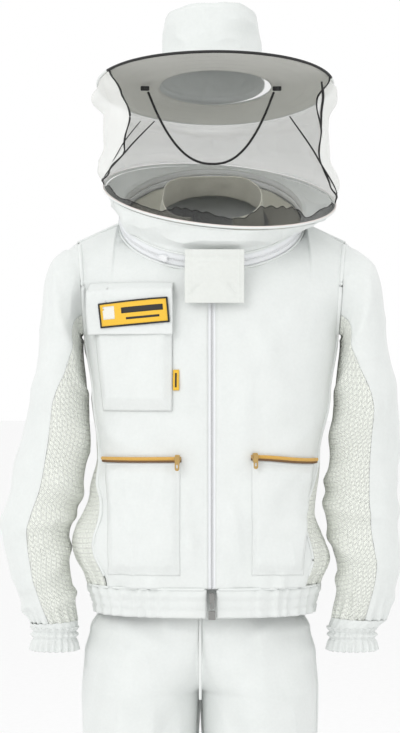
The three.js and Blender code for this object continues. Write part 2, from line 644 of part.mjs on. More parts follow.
// ---- lower pockets with their gold-piped zips ----
const LOWER_POCKET = { top: -391, bottom: -566, depth: 9 };
const POCKET_REACH = { right: [49, 167, 160], left: [62, 160, 140] }; // near edge, far edge above and below
const PIPING_HEIGHT = 6;
for (const [side, sign] of Object.entries(SIDES)) {
  const [near, far, farBelow] = POCKET_REACH[side];
  const line = (s) => -383 - (side === "left" ? 7 * Math.sin(0.5 * Math.PI * (1 - s)) ** 2 - 3 : 2 - 2 * s);
  const outline = (s, t) => {
    const x = sign * lerp(near, lerp(farBelow, far, t), s);
    return [x, lerp(LOWER_POCKET.bottom, line(1 - s) - PIPING_HEIGHT - 1, t)];
  };
  add(
    `lower_pocket_${side}`,
    onFront(outline, 9, 9, FABRIC, pouchLift(LOWER_POCKET.depth, true)),
    COTTON,
  );
  const welt = (s, t) => [sign * lerp(near - 2, far + 3, s), line(1 - s) - PIPING_HEIGHT * (1 - t)];
  add(`pocket_piping_${side}`, onFront(welt, 14, 1, 4, GAP + 0.5), PIPING);
  const start = frontAt(sign * (near + 3), line(1) - PIPING_HEIGHT / 2);
  const turn = Math.atan2(start.normal.x, -start.normal.y);
  const seat = start.point.addScaledVector(start.normal, 6.7);
  sliderPair(`pocket_${side}`, seat, turn, 0);
}

// ---- trousers ----
const splitGap = 0.5;
function leg(side, back) {
  return (u, v) => {
    const z = lerp(ANKLE_Z, TROUSER_TOP_Z, v);
    const depth = through(TROUSER_DEPTH, z);
    if (z < CROTCH_Z) {
      const width = through(LEG_WIDTH, z);
      const apart = (CROTCH_Z - z) * 0.05;
      const half = (width - apart) / 2;
      const angle = Math.PI * (1 - u);
      const y = (back ? 1 : -1) * depth * Math.sin(angle);
      return vec(LEG_SPLIT_X + SIDES[side] * (splitGap + apart + half * (1 + Math.cos(angle))), y, z);
    }
    const width = through(HIP_WIDTH, z);
    const shared = THREE.MathUtils.clamp((RISE_Z - z) / (RISE_Z - CROTCH_Z), 0, 1);
    const centre = (width / 2) * shared;
    const half = width - centre;
    const angle = Math.acos(THREE.MathUtils.clamp(-centre / half, -1, 1)) * (1 - u);
    const y = (back ? 1 : -1) * depth * Math.sin(angle);
    return vec(LEG_SPLIT_X + SIDES[side] * (splitGap + centre + half * Math.cos(angle)), y, z);
  };
}
const WAIST_SHARE = 0.955;
for (const side of Object.keys(SIDES)) {
  const coreOf = (p) => {
    const shared = THREE.MathUtils.clamp((RISE_Z - p.z) / (RISE_Z - CROTCH_Z), 0, 1);
    return vec(LEG_SPLIT_X + SIDES[side] * lerp(20, 92, shared), 0, p.z);
  };
  for (const [face, back] of [["front", false], ["back", true]]) {
    const surface = leg(side, back);
    const panel = (u, v) => surface(lerp(0.012, 0.992, u), lerp(0.046, WAIST_SHARE, v));
    add(`trouser_${face}_${side}`, cloth(panel, 8, 14, -FABRIC, { core: coreOf }), COTTON);
  }
}
const legCentre = (side, z) =>
  LEG_SPLIT_X + SIDES[side] * (((CROTCH_Z - z) * 0.05 + through(LEG_WIDTH, z)) / 2 + splitGap);
for (const side of Object.keys(SIDES)) {
  const x = legCentre(side, ANKLE_Z + ANKLE_BAND);
  const band = (u, v) => {
    const wave = 46 + 1.6 * Math.sin(u * 2 * Math.PI * 8);
    const z = lerp(ANKLE_Z, ANKLE_Z + ANKLE_BAND + 4, v);
    return vec(x + wave * Math.cos(u * 2 * Math.PI), wave * 1.1 * Math.sin(u * 2 * Math.PI), z);
  };
  const middle = (p) => vec(x, 0, p.z);
  add(`ankle_band_${side}`, cloth(band, 32, 1, -FABRIC, { closed: true, core: middle }), COTTON);
}
const waist = (u, v) => {
  const angle = u * 2 * Math.PI;
  const z = lerp(TROUSER_TOP_Z - 45, TROUSER_TOP_Z, v);
  const halfWidth = through(HIP_WIDTH, TROUSER_TOP_Z) - 1;
  return vec(LEG_SPLIT_X + halfWidth * Math.cos(angle), through(TROUSER_DEPTH, TROUSER_TOP_Z) * Math.sin(angle), z);
};
const middleOfWaist = (p) => vec(LEG_SPLIT_X, 0, p.z);
add("trouser_waistband", cloth(waist, 32, 1, -FABRIC, { closed: true, core: middleOfWaist }), COTTON);

export default suit;
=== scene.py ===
# Looks of a beekeeping suit: jacket, zip-on hood with hat and veil, and trousers.
# Lengths in the shape functions are millimetres in the row frame; meshes are made in metres.
import bpy
import math
import numpy as np
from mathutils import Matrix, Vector


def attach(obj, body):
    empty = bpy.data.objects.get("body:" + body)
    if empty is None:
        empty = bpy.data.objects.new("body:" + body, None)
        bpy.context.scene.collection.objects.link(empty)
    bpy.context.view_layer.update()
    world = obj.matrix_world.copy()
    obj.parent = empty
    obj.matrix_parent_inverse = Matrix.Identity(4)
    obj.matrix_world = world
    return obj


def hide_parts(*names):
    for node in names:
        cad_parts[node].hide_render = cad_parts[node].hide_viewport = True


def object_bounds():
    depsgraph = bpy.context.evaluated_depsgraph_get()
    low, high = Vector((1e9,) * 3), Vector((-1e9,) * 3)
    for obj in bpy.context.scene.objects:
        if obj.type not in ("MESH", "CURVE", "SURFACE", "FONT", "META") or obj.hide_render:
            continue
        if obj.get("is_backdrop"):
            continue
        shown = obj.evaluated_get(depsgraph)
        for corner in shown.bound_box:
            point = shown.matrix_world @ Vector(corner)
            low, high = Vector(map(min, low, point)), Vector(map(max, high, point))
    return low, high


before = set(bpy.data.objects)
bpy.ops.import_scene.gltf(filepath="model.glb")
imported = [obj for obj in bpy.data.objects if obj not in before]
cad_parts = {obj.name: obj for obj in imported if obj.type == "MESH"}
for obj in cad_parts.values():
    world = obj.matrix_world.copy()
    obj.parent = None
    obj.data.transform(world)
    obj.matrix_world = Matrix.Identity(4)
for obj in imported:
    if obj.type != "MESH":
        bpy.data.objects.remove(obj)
cad_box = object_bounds()
MM = 0.001
rad = np.radians


# ------------------------------------------------------------------ camera
EYE = (-0.0184, -4.0, -0.242)
LENS_MM = 122.8


def make_camera():
    data = bpy.data.cameras.new("camera")
    data.lens = LENS_MM
    data.sensor_width = 36.0
    data.clip_end = 60.0
    camera = bpy.data.objects.new("camera", data)
    camera.location = EYE
    camera.rotation_euler = (math.pi / 2, 0, 0)
    bpy.context.scene.collection.objects.link(camera)
    bpy.context.scene.camera = camera


make_camera()


# ------------------------------------------------------------------ small maths
def lerp(a, b, t):
    return a + (b - a) * t


def smooth(t):
    t = np.clip(t, 0, 1)
    return t * t * (3 - 2 * t)


def bell(distance, width):
    return np.exp(-((distance / width) ** 2))


def unit(vectors):
    return vectors / np.maximum(np.linalg.norm(vectors, axis=-1, keepdims=True), 1e-9)


def around(count):
    """Angles in degrees that divide a full turn evenly, the last one short of 360."""
    return np.linspace(0, 360, count + 1)[:-1]


def through(keys, at):
    """A smooth value through (position, value) keys in rising order."""
    at = np.asarray(at, float)
    result = np.full(at.shape, float(keys[0][1]))
    for (p, a), (q, b) in zip(keys, keys[1:]):
        t = smooth((at - p) / (q - p))
        result = np.where(at > p, a + (b - a) * t, result)
    return result


def hash3(i, j, k, seed):
    n = (i * 374761393 + j * 668265263 + k * 2147483647 + seed * 974634777) & 0xFFFFFFFF
    n = ((n ^ (n >> 13)) * 1274126177) & 0xFFFFFFFF
    return ((n ^ (n >> 16)) & 0xFFFF) / 32767.5 - 1.0


def noise(points, size, seed=0):
    """Smooth noise from -1 to 1 over points (..., 3), with cells of the given size (number or x, y, z)."""
    q = np.asarray(points, float) / np.asarray(size, float) + 1000.0
    cell = np.floor(q).astype(np.int64)
    f = q - cell
    f = f * f * (3 - 2 * f)
    total = 0.0
    for corner in range(8):
        d = [(corner >> s) & 1 for s in range(3)]
        weight = 1.0
        for s in range(3):
            weight = weight * (f[..., s] if d[s] else 1 - f[..., s])
        value = hash3(cell[..., 0] + d[0], cell[..., 1] + d[1], cell[..., 2] + d[2], seed)
        total = total + weight * value
    return total


def ridged(points, size, seed=0):
    """Narrow rounded ridges on soft ground, from about -0.5 to 1."""
    return 1 - 2.2 * np.abs(noise(points, size, seed)) ** 0.8


def crease(points, a, b, width, height, fade=0.35):
    """A fold along the segment a-b: a ridge of the given half width and height that fades at its ends."""
    a = np.asarray(a, float)
    b = np.asarray(b, float)
    along = b - a
    t = np.clip(((points - a) @ along) / (along @ along), 0, 1)
    gap = np.linalg.norm(points - (a + t[..., None] * along), axis=-1)
    ends = smooth(t / fade) * smooth((1 - t) / fade)
    return height * ends * bell(gap, width)


def xyz(x, y, z):
    return np.stack(np.broadcast_arrays(x, y, z), axis=-1).astype(float)


def grid(columns, rows, u0=0.0, u1=1.0, v0=0.0, v1=1.0):
    return np.meshgrid(np.linspace(u0, u1, columns + 1), np.linspace(v0, v1, rows + 1))


def normals(surface, u, v, core):
    """Unit normals of surface(u, v), away from core(points)."""
    e = 2e-3
    across = surface(u + e, v) - surface(u - e, v)
    along = surface(u, v + e) - surface(u, v - e)
    n = unit(np.cross(across, along))
    out = surface(u, v) - core(surface(u, v))
    return np.where((n * out).sum(-1, keepdims=True) < 0, -n, n)


def axis_core(p):
    return xyz(0, 0, p[..., 2])


# ------------------------------------------------------------------ shape of the suit
FRONT_DEPTH, BACK_DEPTH, SQUARE = 130.0, 125.0, 2.35
CHEST_Z, HEM_TOP, HEM_BOTTOM = -190.0, -587.0, -632.0
CHEST_SHARE, NECK_SHARE, SHOULDER_X = 0.68, 0.62, 213.0
WIDTH = {
    "right": [
        (HEM_BOTTOM, 186), (-590, 196), (-520, 222), (-440, 194), (-384, 182), (-290, 190), (CHEST_Z, 203)
    ],
    "left": [
        (HEM_BOTTOM, 164), (-590, 172), (-545, 189), (-470, 168), (-384, 173), (-290, 190), (CHEST_Z, 203)
    ],
}
SEAM_ANGLE = [(HEM_BOTTOM, 36), (-500, 36), (-370, 13), (CHEST_Z, 11)]
SIGN = {"left": 1.0, "right": -1.0}
NECK_R, NECK_LEAN, NECK_Z = 147.0, rad(32.0), -4.0
TAPE_WIDTH = 11.0


def powered(value, exponent):
    return np.sign(value) * np.abs(value) ** exponent


def torso(angle, z):
    angle, z = np.broadcast_arrays(np.asarray(angle, float), np.asarray(z, float))
    width = np.where((angle < 0) | (angle > 180), through(WIDTH["right"], z), through(WIDTH["left"], z))
    depth = np.where(np.cos(rad(angle)) > 0, FRONT_DEPTH, BACK_DEPTH)
    share = 2 / SQUARE
    return xyz(width * powered(np.sin(rad(angle)), share), -depth * powered(np.cos(rad(angle)), share), z)


def neck_ring(turn, radius=NECK_R, height=0.0):
    x = radius * np.sin(rad(turn))
    y = -radius * np.cos(rad(turn))
    c, s = math.cos(NECK_LEAN), math.sin(NECK_LEAN)
    return xyz(x, y * c - height * s, y * s + height * c + NECK_Z)


def body_half(sign, back):
    depth = 1.0 if back else -1.0

    def angle_of(u, z):
        outer = 90 - through(SEAM_ANGLE, z)
        return sign * (180 - u * outer) if back else sign * u * outer

    def surface(u, v):
        u, v = np.broadcast_arrays(np.asarray(u, float), np.asarray(v, float))
        z = lerp(HEM_TOP, CHEST_Z, v / CHEST_SHARE)
        low = torso(angle_of(u, z), z)
        t = np.clip((v - CHEST_SHARE) / (1 - CHEST_SHARE), 0, 1.02)[..., None]
        chest = torso(angle_of(u, CHEST_Z), CHEST_Z)
        ridge = np.clip((u - NECK_SHARE) / (1 - NECK_SHARE), 0, None)
        turn = np.clip(u, None, NECK_SHARE) / NECK_SHARE * 90
        on_ring = neck_ring(sign * ((180 - turn) if back else turn), NECK_R + 2, -TAPE_WIDTH - 2.4)
        ridge_x = lerp(NECK_R + 2, SHOULDER_X, ridge)
        on_ridge = xyz(sign * ridge_x, depth * 1.0, -14 - (ridge_x - NECK_R) * 0.46)
        top = np.where((ridge > 0)[..., None], on_ridge, on_ring)
        top[..., 1] = np.where(np.abs(top[..., 1]) < 1.0, depth * 1.0, top[..., 1])
        swell = lerp(np.abs(chest[..., 1]), 108.0, np.clip(u, 0, 2) ** 3)
        knee = xyz(
            lerp(chest[..., 0], top[..., 0], 0.35),
            depth * swell,
            lerp(CHEST_Z, top[..., 2], lerp(0.5, 0.8, np.clip(u / NECK_SHARE, 0, 1))),
        )
        high = (1 - t) ** 2 * chest + 2 * t * (1 - t) * knee + t * t * top
        return np.where((v <= CHEST_SHARE)[..., None], low, high)

    return surface


FRONT = {"left": body_half(1.0, False), "right": body_half(-1.0, False)}
BACK = {"left": body_half(1.0, True), "right": body_half(-1.0, True)}


def front_uv(side, x, z):
    """The (u, v) of a front panel at x and z."""
    surface = FRONT[side]
    x, z = np.broadcast_arrays(np.asarray(x, float), np.asarray(z, float))
    u = np.clip(np.abs(x) / 200, 0, 0.9)
    v = CHEST_SHARE * (z - HEM_TOP) / (CHEST_Z - HEM_TOP)
    for _ in range(16):
        here = surface(u, v)
        du = (surface(u + 1e-3, v) - here) / 1e-3
        dv = (surface(u, v + 1e-3) - here) / 1e-3
        det = du[..., 0] * dv[..., 2] - dv[..., 0] * du[..., 2]
        dx, dz = x - here[..., 0], z - here[..., 2]
        u = np.clip(u + (dx * dv[..., 2] - dz * dv[..., 0]) / det, 0.002, 0.99)
        v = np.clip(v + (dz * du[..., 0] - dx * du[..., 2]) / det, 0.002, 0.97)
    return u, v


FOLDS_RIGHT = [  # the wearer's right, at -X: (start, end, half width, height)
    ((-60, -120, -140), (-30, -128, -330), 14, 2.6),
    ((-190, -60, -330), (-70, -115, -390), 13, 3.0),
    ((-170, -70, -560), (-60, -120, -582), 12, 3.6),
    ((-200, -50, -470), (-120, -100, -560), 14, 4.0),
    ((-45, -125, -420), (-28, -128, -560), 10, 3.0),
    ((-150, -90, -480), (-90, -110, -590), 12, 3.0),
    ((-40, -110, -100), (-90, -100, -40), 16, -2.4),
    ((-160, -80, -60), (-170, -80, -190), 14, 2.4),
]
FOLDS_LEFT = [
    ((50, -120, -120), (120, -110, -330), 18, 3.0),
    ((40, -125, -200), (60, -120, -420), 16, 2.6),
    ((150, -80, -120), (60, -120, -250), 16, 2.4),
    ((170, -60, -330), (50, -120, -400), 15, 3.2),
    ((180, -50, -520), (80, -110, -585), 13, 4.0),
    ((28, -128, -430), (46, -125, -570), 10, 3.0),
    ((150, -70, -470), (100, -100, -590), 12, 3.2),
    ((45, -110, -95), (100, -95, -35), 16, -2.4),
]


def front_relief(side, p):
    """How far the cloth of a front stands off its smooth shape."""
    total = np.zeros(p.shape[:-1])
    for a, b, width, height in FOLDS_RIGHT if side == "right" else FOLDS_LEFT:
        total += crease(p, a, b, width, 1.5 * height)
    low = smooth((-430 - p[..., 2]) / 110)
    gather = np.sin(p[..., 0] / 5.2 + 1.4 * noise(p, (30, 30, 60), 4)) * smooth((-545 - p[..., 2]) / 40)
    outside = smooth((np.abs(p[..., 0]) - 40) / 50)
    total += 2.2 * gather * outside + 4.2 * low * ridged(p, (50, 60, 90), 11)
    total += 2.0 * noise(p, (70, 70, 100), 3) + 0.9 * ridged(p, (34, 40, 56), 8)
    calm = smooth((np.abs(p[..., 0]) - 10) / 22)
    return total * calm


def front_point(side, x, z, lift):
    """Points on the jacket's front at x and z, lifted off the folded cloth."""
    u, v = front_uv(side, x, z)
    p = FRONT[side](u, v)
    n = normals(FRONT[side], u, v, axis_core)
    return p + n * (front_relief(side, p) + lift)[..., None]


# sleeves: stations from the armhole to the cuff, as outer x, outer z, inner x, inner z, y, depth
SLEEVE = {
    "right": [
        (257, -80, 211, -200, 0, 80),
        (279, -231, 207, -268, -2, 70),
        (291, -300, 202, -322, -4, 64),
        (318, -425, 206, -430, -8, 57),
        (334, -500, 233, -505, -10, 54),
        (312, -597, 226, -590, -17, 49),
        (288, -650, 213, -645, -22, 42),
    ],
    "left": [
        (259, -80, 211, -200, 0, 80),
        (286, -220, 207, -262, -2, 70),
        (296, -300, 202, -322, -4, 64),
        (297, -392, 189, -404, -6, 58),
        (297, -480, 186, -488, -10, 55),
        (299, -566, 203, -564, -15, 51),
        (278, -645, 191, -640, -22, 42),
    ],
}
CUFF = {"right": (286, 213), "left": (262, 185)}
CUFF_TOP, CUFF_BOTTOM = -655.0, -692.0
SLEEVE_SEAM = [(0, 46), (0.16, 52), (0.42, 96), (1, 100)]


def armhole(side, turn):
    sign = SIGN[side]
    turn = np.mod(turn, 360.0)
    from_top = np.minimum(turn, 360 - turn) / 180
    v = lerp(1.0, CHEST_SHARE, np.clip(from_top / 0.86, 0, 1))
    one = np.ones_like(v)
    upper = np.where((turn < 180)[..., None], FRONT[side](one, v), BACK[side](one, v))
    seam = through(SEAM_ANGLE, CHEST_Z) * (1 - from_top) / 0.14
    angle = np.where(turn < 180, 90 - seam, 90 + seam)
    lower = torso(sign * angle, np.full_like(angle, CHEST_Z))
    return np.where((from_top <= 0.86)[..., None], upper, lower) + np.array([sign * 2.0, 0, 0])


def station(side, row, turn):
    ox, oz, ix, iz, y, depth = row
    across = np.cos(rad(turn)) / 2
    return xyz(
        SIGN[side] * ((ox + ix) / 2 + (ox - ix) * across),
        y - depth * np.sin(rad(turn)),
        (oz + iz) / 2 + (oz - iz) * across,
    )


def curve_through(points, v):
    """Centripetal Catmull-Rom through points (k, ..., 3) at v from 0 to 1, shaped like each point's grid."""
    count = len(points) - 1
    ends = [2 * points[0] - points[1], *points, 2 * points[-1] - points[-2]]
    v = np.clip(v, 0, 1) * count
    result = np.zeros(points[0].shape)
    for k in range(count):
        p0, p1, p2, p3 = ends[k : k + 4]
        gaps = [
            np.maximum(np.linalg.norm(b - a, axis=-1), 1e-4) ** 0.5 for a, b in ((p0, p1), (p1, p2), (p2, p3))
        ]
        g0, g1, g2 = [g[..., None] for g in gaps]
        m1 = ((p1 - p0) / g0 - (p2 - p0) / (g0 + g1) + (p2 - p1) / g1) * g1
        m2 = ((p2 - p1) / g1 - (p3 - p1) / (g1 + g2) + (p3 - p2) / g2) * g1
        t = np.clip(v - k, 0, 1)[..., None]
        here = (2 * t**3 - 3 * t**2 + 1) * p1 + (t**3 - 2 * t**2 + t) * m1
        here = here + (-2 * t**3 + 3 * t**2) * p2 + (t**3 - t**2) * m2
        last = (v >= k) & ((v < k + 1) | (k == count - 1))
        result = np.where(last[..., None], here, result)
    return result


def sleeve(side):
    def surface(turn, v):
        turn, v = np.broadcast_arrays(np.asarray(turn, float), np.asarray(v, float))
        rows = [armhole(side, turn)] + [station(side, row, turn) for row in SLEEVE[side]]
        return curve_through(rows, v)

    return surface


def sleeve_core(side):
    rows = SLEEVE[side]
    zs = [-(r[1] + r[3]) / 2 for r in rows]
    xs = [SIGN[side] * (r[0] + r[2]) / 2 for r in rows]
    ys = [r[4] for r in rows]
    return lambda p: xyz(np.interp(-p[..., 2], zs, xs), np.interp(-p[..., 2], zs, ys), p[..., 2])


# hood rings
BRIM = dict(x=6, y=0, z=203, w=190, d=190, rise=38, saddle=-3, tilt=0)
HOOP = dict(x=13, y=4, z=33, w=183, d=172, rise=-60, saddle=0, tilt=-15)
WIRE = 3.4


def ring(data, turn, share=1.0):
    s, c = np.sin(rad(turn)), np.cos(rad(turn))
    wave = data["saddle"] * share**2 * np.cos(2 * rad(turn))
    return xyz(
        data["x"] + share * data["w"] * s,
        data["y"] - share * data["d"] * c,
        data["z"] + share * (data["rise"] * c + data["tilt"] * s) + wave,
    )


def outward(turn):
    return xyz(np.sin(rad(turn)), -np.cos(rad(turn)), 0)


def hoop_edge(turn, radial, height):
    return ring(HOOP, turn) + radial * outward(turn) + np.array([0, 0, height])


VEIL_WAIST = [(0, 0), (0.12, 5), (0.4, -4), (0.7, -9), (0.88, -2), (1, 0)]


def veil(turn, v):
    turn, v = np.broadcast_arrays(np.asarray(turn, float), np.asarray(v, float))
    low = hoop_edge(turn, WIRE / 2, WIRE / 2 + 1.2)
    high = ring(BRIM, turn, 0.985) + np.array([0, 0, -1.6])
    return lerp(low, high, v[..., None]) + through(VEIL_WAIST, v)[..., None] * outward(turn)


SEAM_RIGHT = [(0, -88), (0.2, -66), (0.4, -54), (0.62, -50), (0.82, -54), (1, -62)]
SEAM_LEFT = [(0, 88), (0.2, 68), (0.42, 60), (0.6, 66), (0.8, 60), (1, 74)]


def hood_base(turn, v):
    turn, v = np.broadcast_arrays(np.asarray(turn, float), np.asarray(v, float))
    low = neck_ring(turn, NECK_R - 1.6, TAPE_WIDTH + 1.6)
    high = hoop_edge(turn, 0, -WIRE / 2 - 2.6)
    return lerp(low, high, v[..., None]) + (4 * np.sin(np.pi * v))[..., None] * outward(turn)


# trousers
CROTCH, RISE, ANKLE, TROUSER_TOP, SPLIT_X = -756.0, -610.0, -1545.0, -500.0, -18.0
LEG_WIDTH = [(ANKLE, 124), (-1500, 150), (-1150, 172), (CROTCH, 186)]
HIP_WIDTH = [(CROTCH, 186), (-700, 182), (-660, 173), (-625, 157), (TROUSER_TOP, 136)]
TROUSER_DEPTH = [(ANKLE, 66), (-1500, 80), (-1150, 94), (CROTCH, 113), (-625, 104), (TROUSER_TOP, 98)]


def leg(side, back):
    sign = SIGN[side]
    face = 1.0 if back else -1.0

    def surface(u, v):
        u, v = np.broadcast_arrays(np.asarray(u, float), np.asarray(v, float))
        z = lerp(ANKLE, TROUSER_TOP, v)
        depth = through(TROUSER_DEPTH, z)
        apart = np.maximum(CROTCH - z, 0) * 0.05
        shared = np.clip((RISE - z) / (RISE - CROTCH), 0, 1)
        width = np.where(z < CROTCH, through(LEG_WIDTH, z), through(HIP_WIDTH, z))
        centre = np.where(z < CROTCH, (width + apart) / 2, width / 2 * shared)
        half = np.where(z < CROTCH, (width - apart) / 2, width - centre)
        start = np.where(z < CROTCH, np.pi, np.arccos(np.clip(-centre / half, -1, 1)))
        angle = start * (1 - u)
        return xyz(SPLIT_X + sign * (0.5 + centre + half * np.cos(angle)), face * depth * np.sin(angle), z)

    return surface


def leg_core(side):
    def core(p):
        shared = np.clip((RISE - p[..., 2]) / (RISE - CROTCH), 0, 1)
        return xyz(SPLIT_X + SIGN[side] * lerp(20, 92, shared), 0, p[..., 2])

    return core


# ------------------------------------------------------------------ materials
def material(name, base, roughness, metallic=0.0, sheen=0.0):
    made = bpy.data.materials.new(name)
    made.use_nodes = True
    shader = made.node_tree.nodes["Principled BSDF"]
    shader.inputs["Base Color"].default_value = (*base, 1)
    shader.inputs["Roughness"].default_value = roughness
    shader.inputs["Metallic"].default_value = metallic
    shader.inputs["Sheen Weight"].default_value = sheen
    shader.inputs["Sheen Roughness"].default_value = 0.5
    return made, made.node_tree, shader


def math_node(tree, operation, a, b=None, clamp=False):
    made = tree.nodes.new("ShaderNodeMath")
    made.operation = operation
    made.use_clamp = clamp
    for socket, value in zip(made.inputs, (a, b)):
        if value is None:
            continue
        if isinstance(value, (int, float)):
            socket.default_value = value
        else:
            tree.links.new(value, socket)
    return made.outputs[0]


def product(tree, a, b, clamp=False):
    return math_node(tree, "MULTIPLY", a, b, clamp)


def plus(tree, a, b):
    return math_node(tree, "ADD", a, b)


def uv_axes(tree, cell):
    """The UV coordinates in cells of the given size (metres)."""
    uv = tree.nodes.new("ShaderNodeUVMap")
    uv.uv_map = "cloth"
    parts = tree.nodes.new("ShaderNodeSeparateXYZ")
    tree.links.new(uv.outputs[0], parts.inputs[0])
    return [math_node(tree, "DIVIDE", parts.outputs[k], cell) for k in (0, 1)]


def thread(tree, coordinate, sharpness=1.0):
    """0 between threads and 1 on them, along one coordinate."""
    wave = math_node(tree, "SINE", product(tree, coordinate, 2 * math.pi))
    half = product(tree, plus(tree, wave, 1.0), 0.5)
    return math_node(tree, "POWER", half, sharpness)


def mix_colour(tree, factor, a, b):
    made = tree.nodes.new("ShaderNodeMix")
    made.data_type = "RGBA"
    for socket, value in ((made.inputs[0], factor), (made.inputs[6], a), (made.inputs[7], b)):
        if isinstance(value, (tuple, list)):
            socket.default_value = (*value, 1)
        elif isinstance(value, (int, float)):
            socket.default_value = value
        else:
            tree.links.new(value, socket)
    return made.outputs[2]


def bump(tree, shader, height, distance, strength=1.0, under=None):
    made = tree.nodes.new("ShaderNodeBump")
    made.inputs["Strength"].default_value = strength
    made.inputs["Distance"].default_value = distance
    tree.links.new(height, made.inputs["Height"])
    if under is not None:
        tree.links.new(under, made.inputs["Normal"])
    tree.links.new(made.outputs[0], shader.inputs["Normal"])
    return made.outputs[0]


def cloth_noise(tree, scale, detail=3.0):
    place = tree.nodes.new("ShaderNodeTexCoord")
    made = tree.nodes.new("ShaderNodeTexNoise")
    made.inputs["Scale"].default_value = scale
    made.inputs["Detail"].default_value = detail
    tree.links.new(place.outputs["Object"], made.inputs["Vector"])
    return made.outputs["Fac"]


def twill(name, light, dark, pitch=0.0009, crumple=0.0016):
    """Woven cotton: diagonal twill, slubs, soft crumples."""
    made, tree, shader = material(name, light, 0.92, sheen=0.25)
    a, b = uv_axes(tree, pitch)
    diagonal = thread(tree, plus(tree, a, b), 0.8)
    cross = thread(tree, product(tree, math_node(tree, "SUBTRACT", a, b), 0.5), 0.8)
    weave = plus(tree, product(tree, diagonal, 0.7), product(tree, cross, 0.3))
    soft = cloth_noise(tree, 26.0, 4.0)
    fine = cloth_noise(tree, 210.0, 3.0)
    tone = plus(tree, product(tree, soft, 0.55), product(tree, fine, 0.45))
    tone = product(tree, math_node(tree, "SUBTRACT", tone, 0.35), 2.2, True)
    base = mix_colour(tree, tone, dark, light)
    shade = mix_colour(tree, product(tree, weave, 0.10), base, tuple(c * 0.72 for c in light))
    tree.links.new(shade, shader.inputs["Base Color"])
    first = bump(tree, shader, soft, crumple, 0.55)
    bump(tree, shader, weave, pitch * 0.25, 0.5, first)
    return made


WHITE = (0.775, 0.80, 0.785)
COTTON = twill("cotton", WHITE, (0.72, 0.745, 0.73))
# painted shade: a cream, darker copy of the white cotton that stands for white cloth in shade inside the neck
# and on the inner collar
COTTON_PAINTED_SHADE = twill("cotton_inside_painted_shade", (0.72, 0.71, 0.62), (0.64, 0.63, 0.54))
COTTON_FLAP = twill("cotton_flap", (0.755, 0.775, 0.745), (0.70, 0.72, 0.69))
# painted shade: a darker beige copy of the white cotton for the brim's underside, which lies in shade
BRIM_PAINTED_SHADE = twill("brim_underside_painted_shade", (0.74, 0.74, 0.69), (0.67, 0.67, 0.62))


def vent():
    """Ventilated mesh: a quilted grid of small cells with a hole in each."""
    made, tree, shader = material("vent_mesh", (0.84, 0.86, 0.80), 0.95, sheen=0.2)
    a, b = uv_axes(tree, 0.0078)
    fine_a, fine_b = uv_axes(tree, 0.0026)
    ribs = math_node(tree, "MAXIMUM", thread(tree, a, 5.0), thread(tree, b, 5.0))
    holes = product(tree, thread(tree, fine_a, 1.4), thread(tree, fine_b, 1.4))
    cell = mix_colour(tree, product(tree, holes, 0.6), (0.84, 0.865, 0.80), (0.66, 0.69, 0.60))
    tree.links.new(mix_colour(tree, ribs, cell, (0.88, 0.90, 0.85)), shader.inputs["Base Color"])
    height = math_node(tree, "SUBTRACT", ribs, product(tree, holes, 0.6))
    bump(tree, shader, height, 0.0016, 0.9)
    return made


VENT = vent()


def net(name, colour, pitch, open_alpha, thread_alpha, roughness=0.8):
    """Fine net: threads on a diamond grid with open holes."""
    made, tree, shader = material(name, colour, roughness)
    a, b = uv_axes(tree, pitch)
    one = thread(tree, plus(tree, a, b), 3.0)
    two = thread(tree, math_node(tree, "SUBTRACT", a, b), 3.0)
    threads = math_node(tree, "MAXIMUM", one, two)
    span = thread_alpha - open_alpha
    alpha = plus(tree, product(tree, threads, span), open_alpha)
    tree.links.new(alpha, shader.inputs["Alpha"])
    made.blend_method = "HASHED"
    return made


BLACK_NET = net("black_net", (0.012, 0.013, 0.013), 0.0021, 0.05, 0.25)
BLACK_BUNCH = net("black_net_bunched", (0.02, 0.02, 0.02), 0.0021, 0.42, 0.92)
WHITE_NET = net("white_net", (0.86, 0.87, 0.85), 0.0018, 0.40, 0.86)


def plain(name, base, roughness, pattern_size, depth, metallic=0.0, contrast=0.12, sheen=0.0):
    """A surface with a fine grain in both colour and height."""
    made, tree, shader = material(name, base, roughness, metallic, sheen)
    grain = cloth_noise(tree, 1 / pattern_size, 4.0)
    darker = tuple(c * (1 - 2 * contrast) for c in base)
    tree.links.new(
        mix_colour(tree, grain, darker, tuple(min(1, c * (1 + contrast)) for c in base)),
        shader.inputs["Base Color"],
    )
    bump(tree, shader, grain, depth, 0.5)
    return made


THREAD = plain("sewing_thread", (0.80, 0.82, 0.82), 0.6, 0.0008, 0.0002)
# painted shade: the white sewing thread made grey where it lies in shade, under the brim and on the inner
# collar
THREAD_PAINTED_SHADE = plain("sewing_thread_painted_shade", (0.56, 0.57, 0.55), 0.6, 0.0008, 0.0002)
ZIP_TAPE = twill("zip_tape", (0.84, 0.855, 0.87), (0.80, 0.815, 0.83), 0.0006, 0.0004)
ZIP_TEETH = plain("zip_teeth", (0.86, 0.87, 0.88), 0.35, 0.002, 0.0001)
METAL = plain("zip_metal", (0.30, 0.30, 0.29), 0.34, 0.0015, 0.0001, 0.9)
BRONZE = plain("zip_bronze", (0.50, 0.33, 0.12), 0.36, 0.0015, 0.0001, 0.6)
BRASS = plain("piping_gold", (0.66, 0.37, 0.055), 0.42, 0.0012, 0.0003, 0.0, 0.18, 0.3)
BROWN = plain("piping_brown", (0.17, 0.085, 0.03), 0.6, 0.0012, 0.0003)
BLACK = plain("black_elastic", (0.012, 0.012, 0.012), 0.6, 0.0012, 0.0004, 0.0, 0.3)
YELLOW = plain("badge_yellow", (0.83, 0.50, 0.035), 0.62, 0.0010, 0.0004, 0.0, 0.10)
BADGE_WHITE = plain("badge_white", (0.80, 0.79, 0.72), 0.6, 0.0010, 0.0004)
BADGE_BLACK = plain("badge_black", (0.016, 0.015, 0.013), 0.6, 0.0010, 0.0004)
PINK_BINDING = plain("hoop_binding", (0.80, 0.72, 0.69), 0.75, 0.0014, 0.0003)


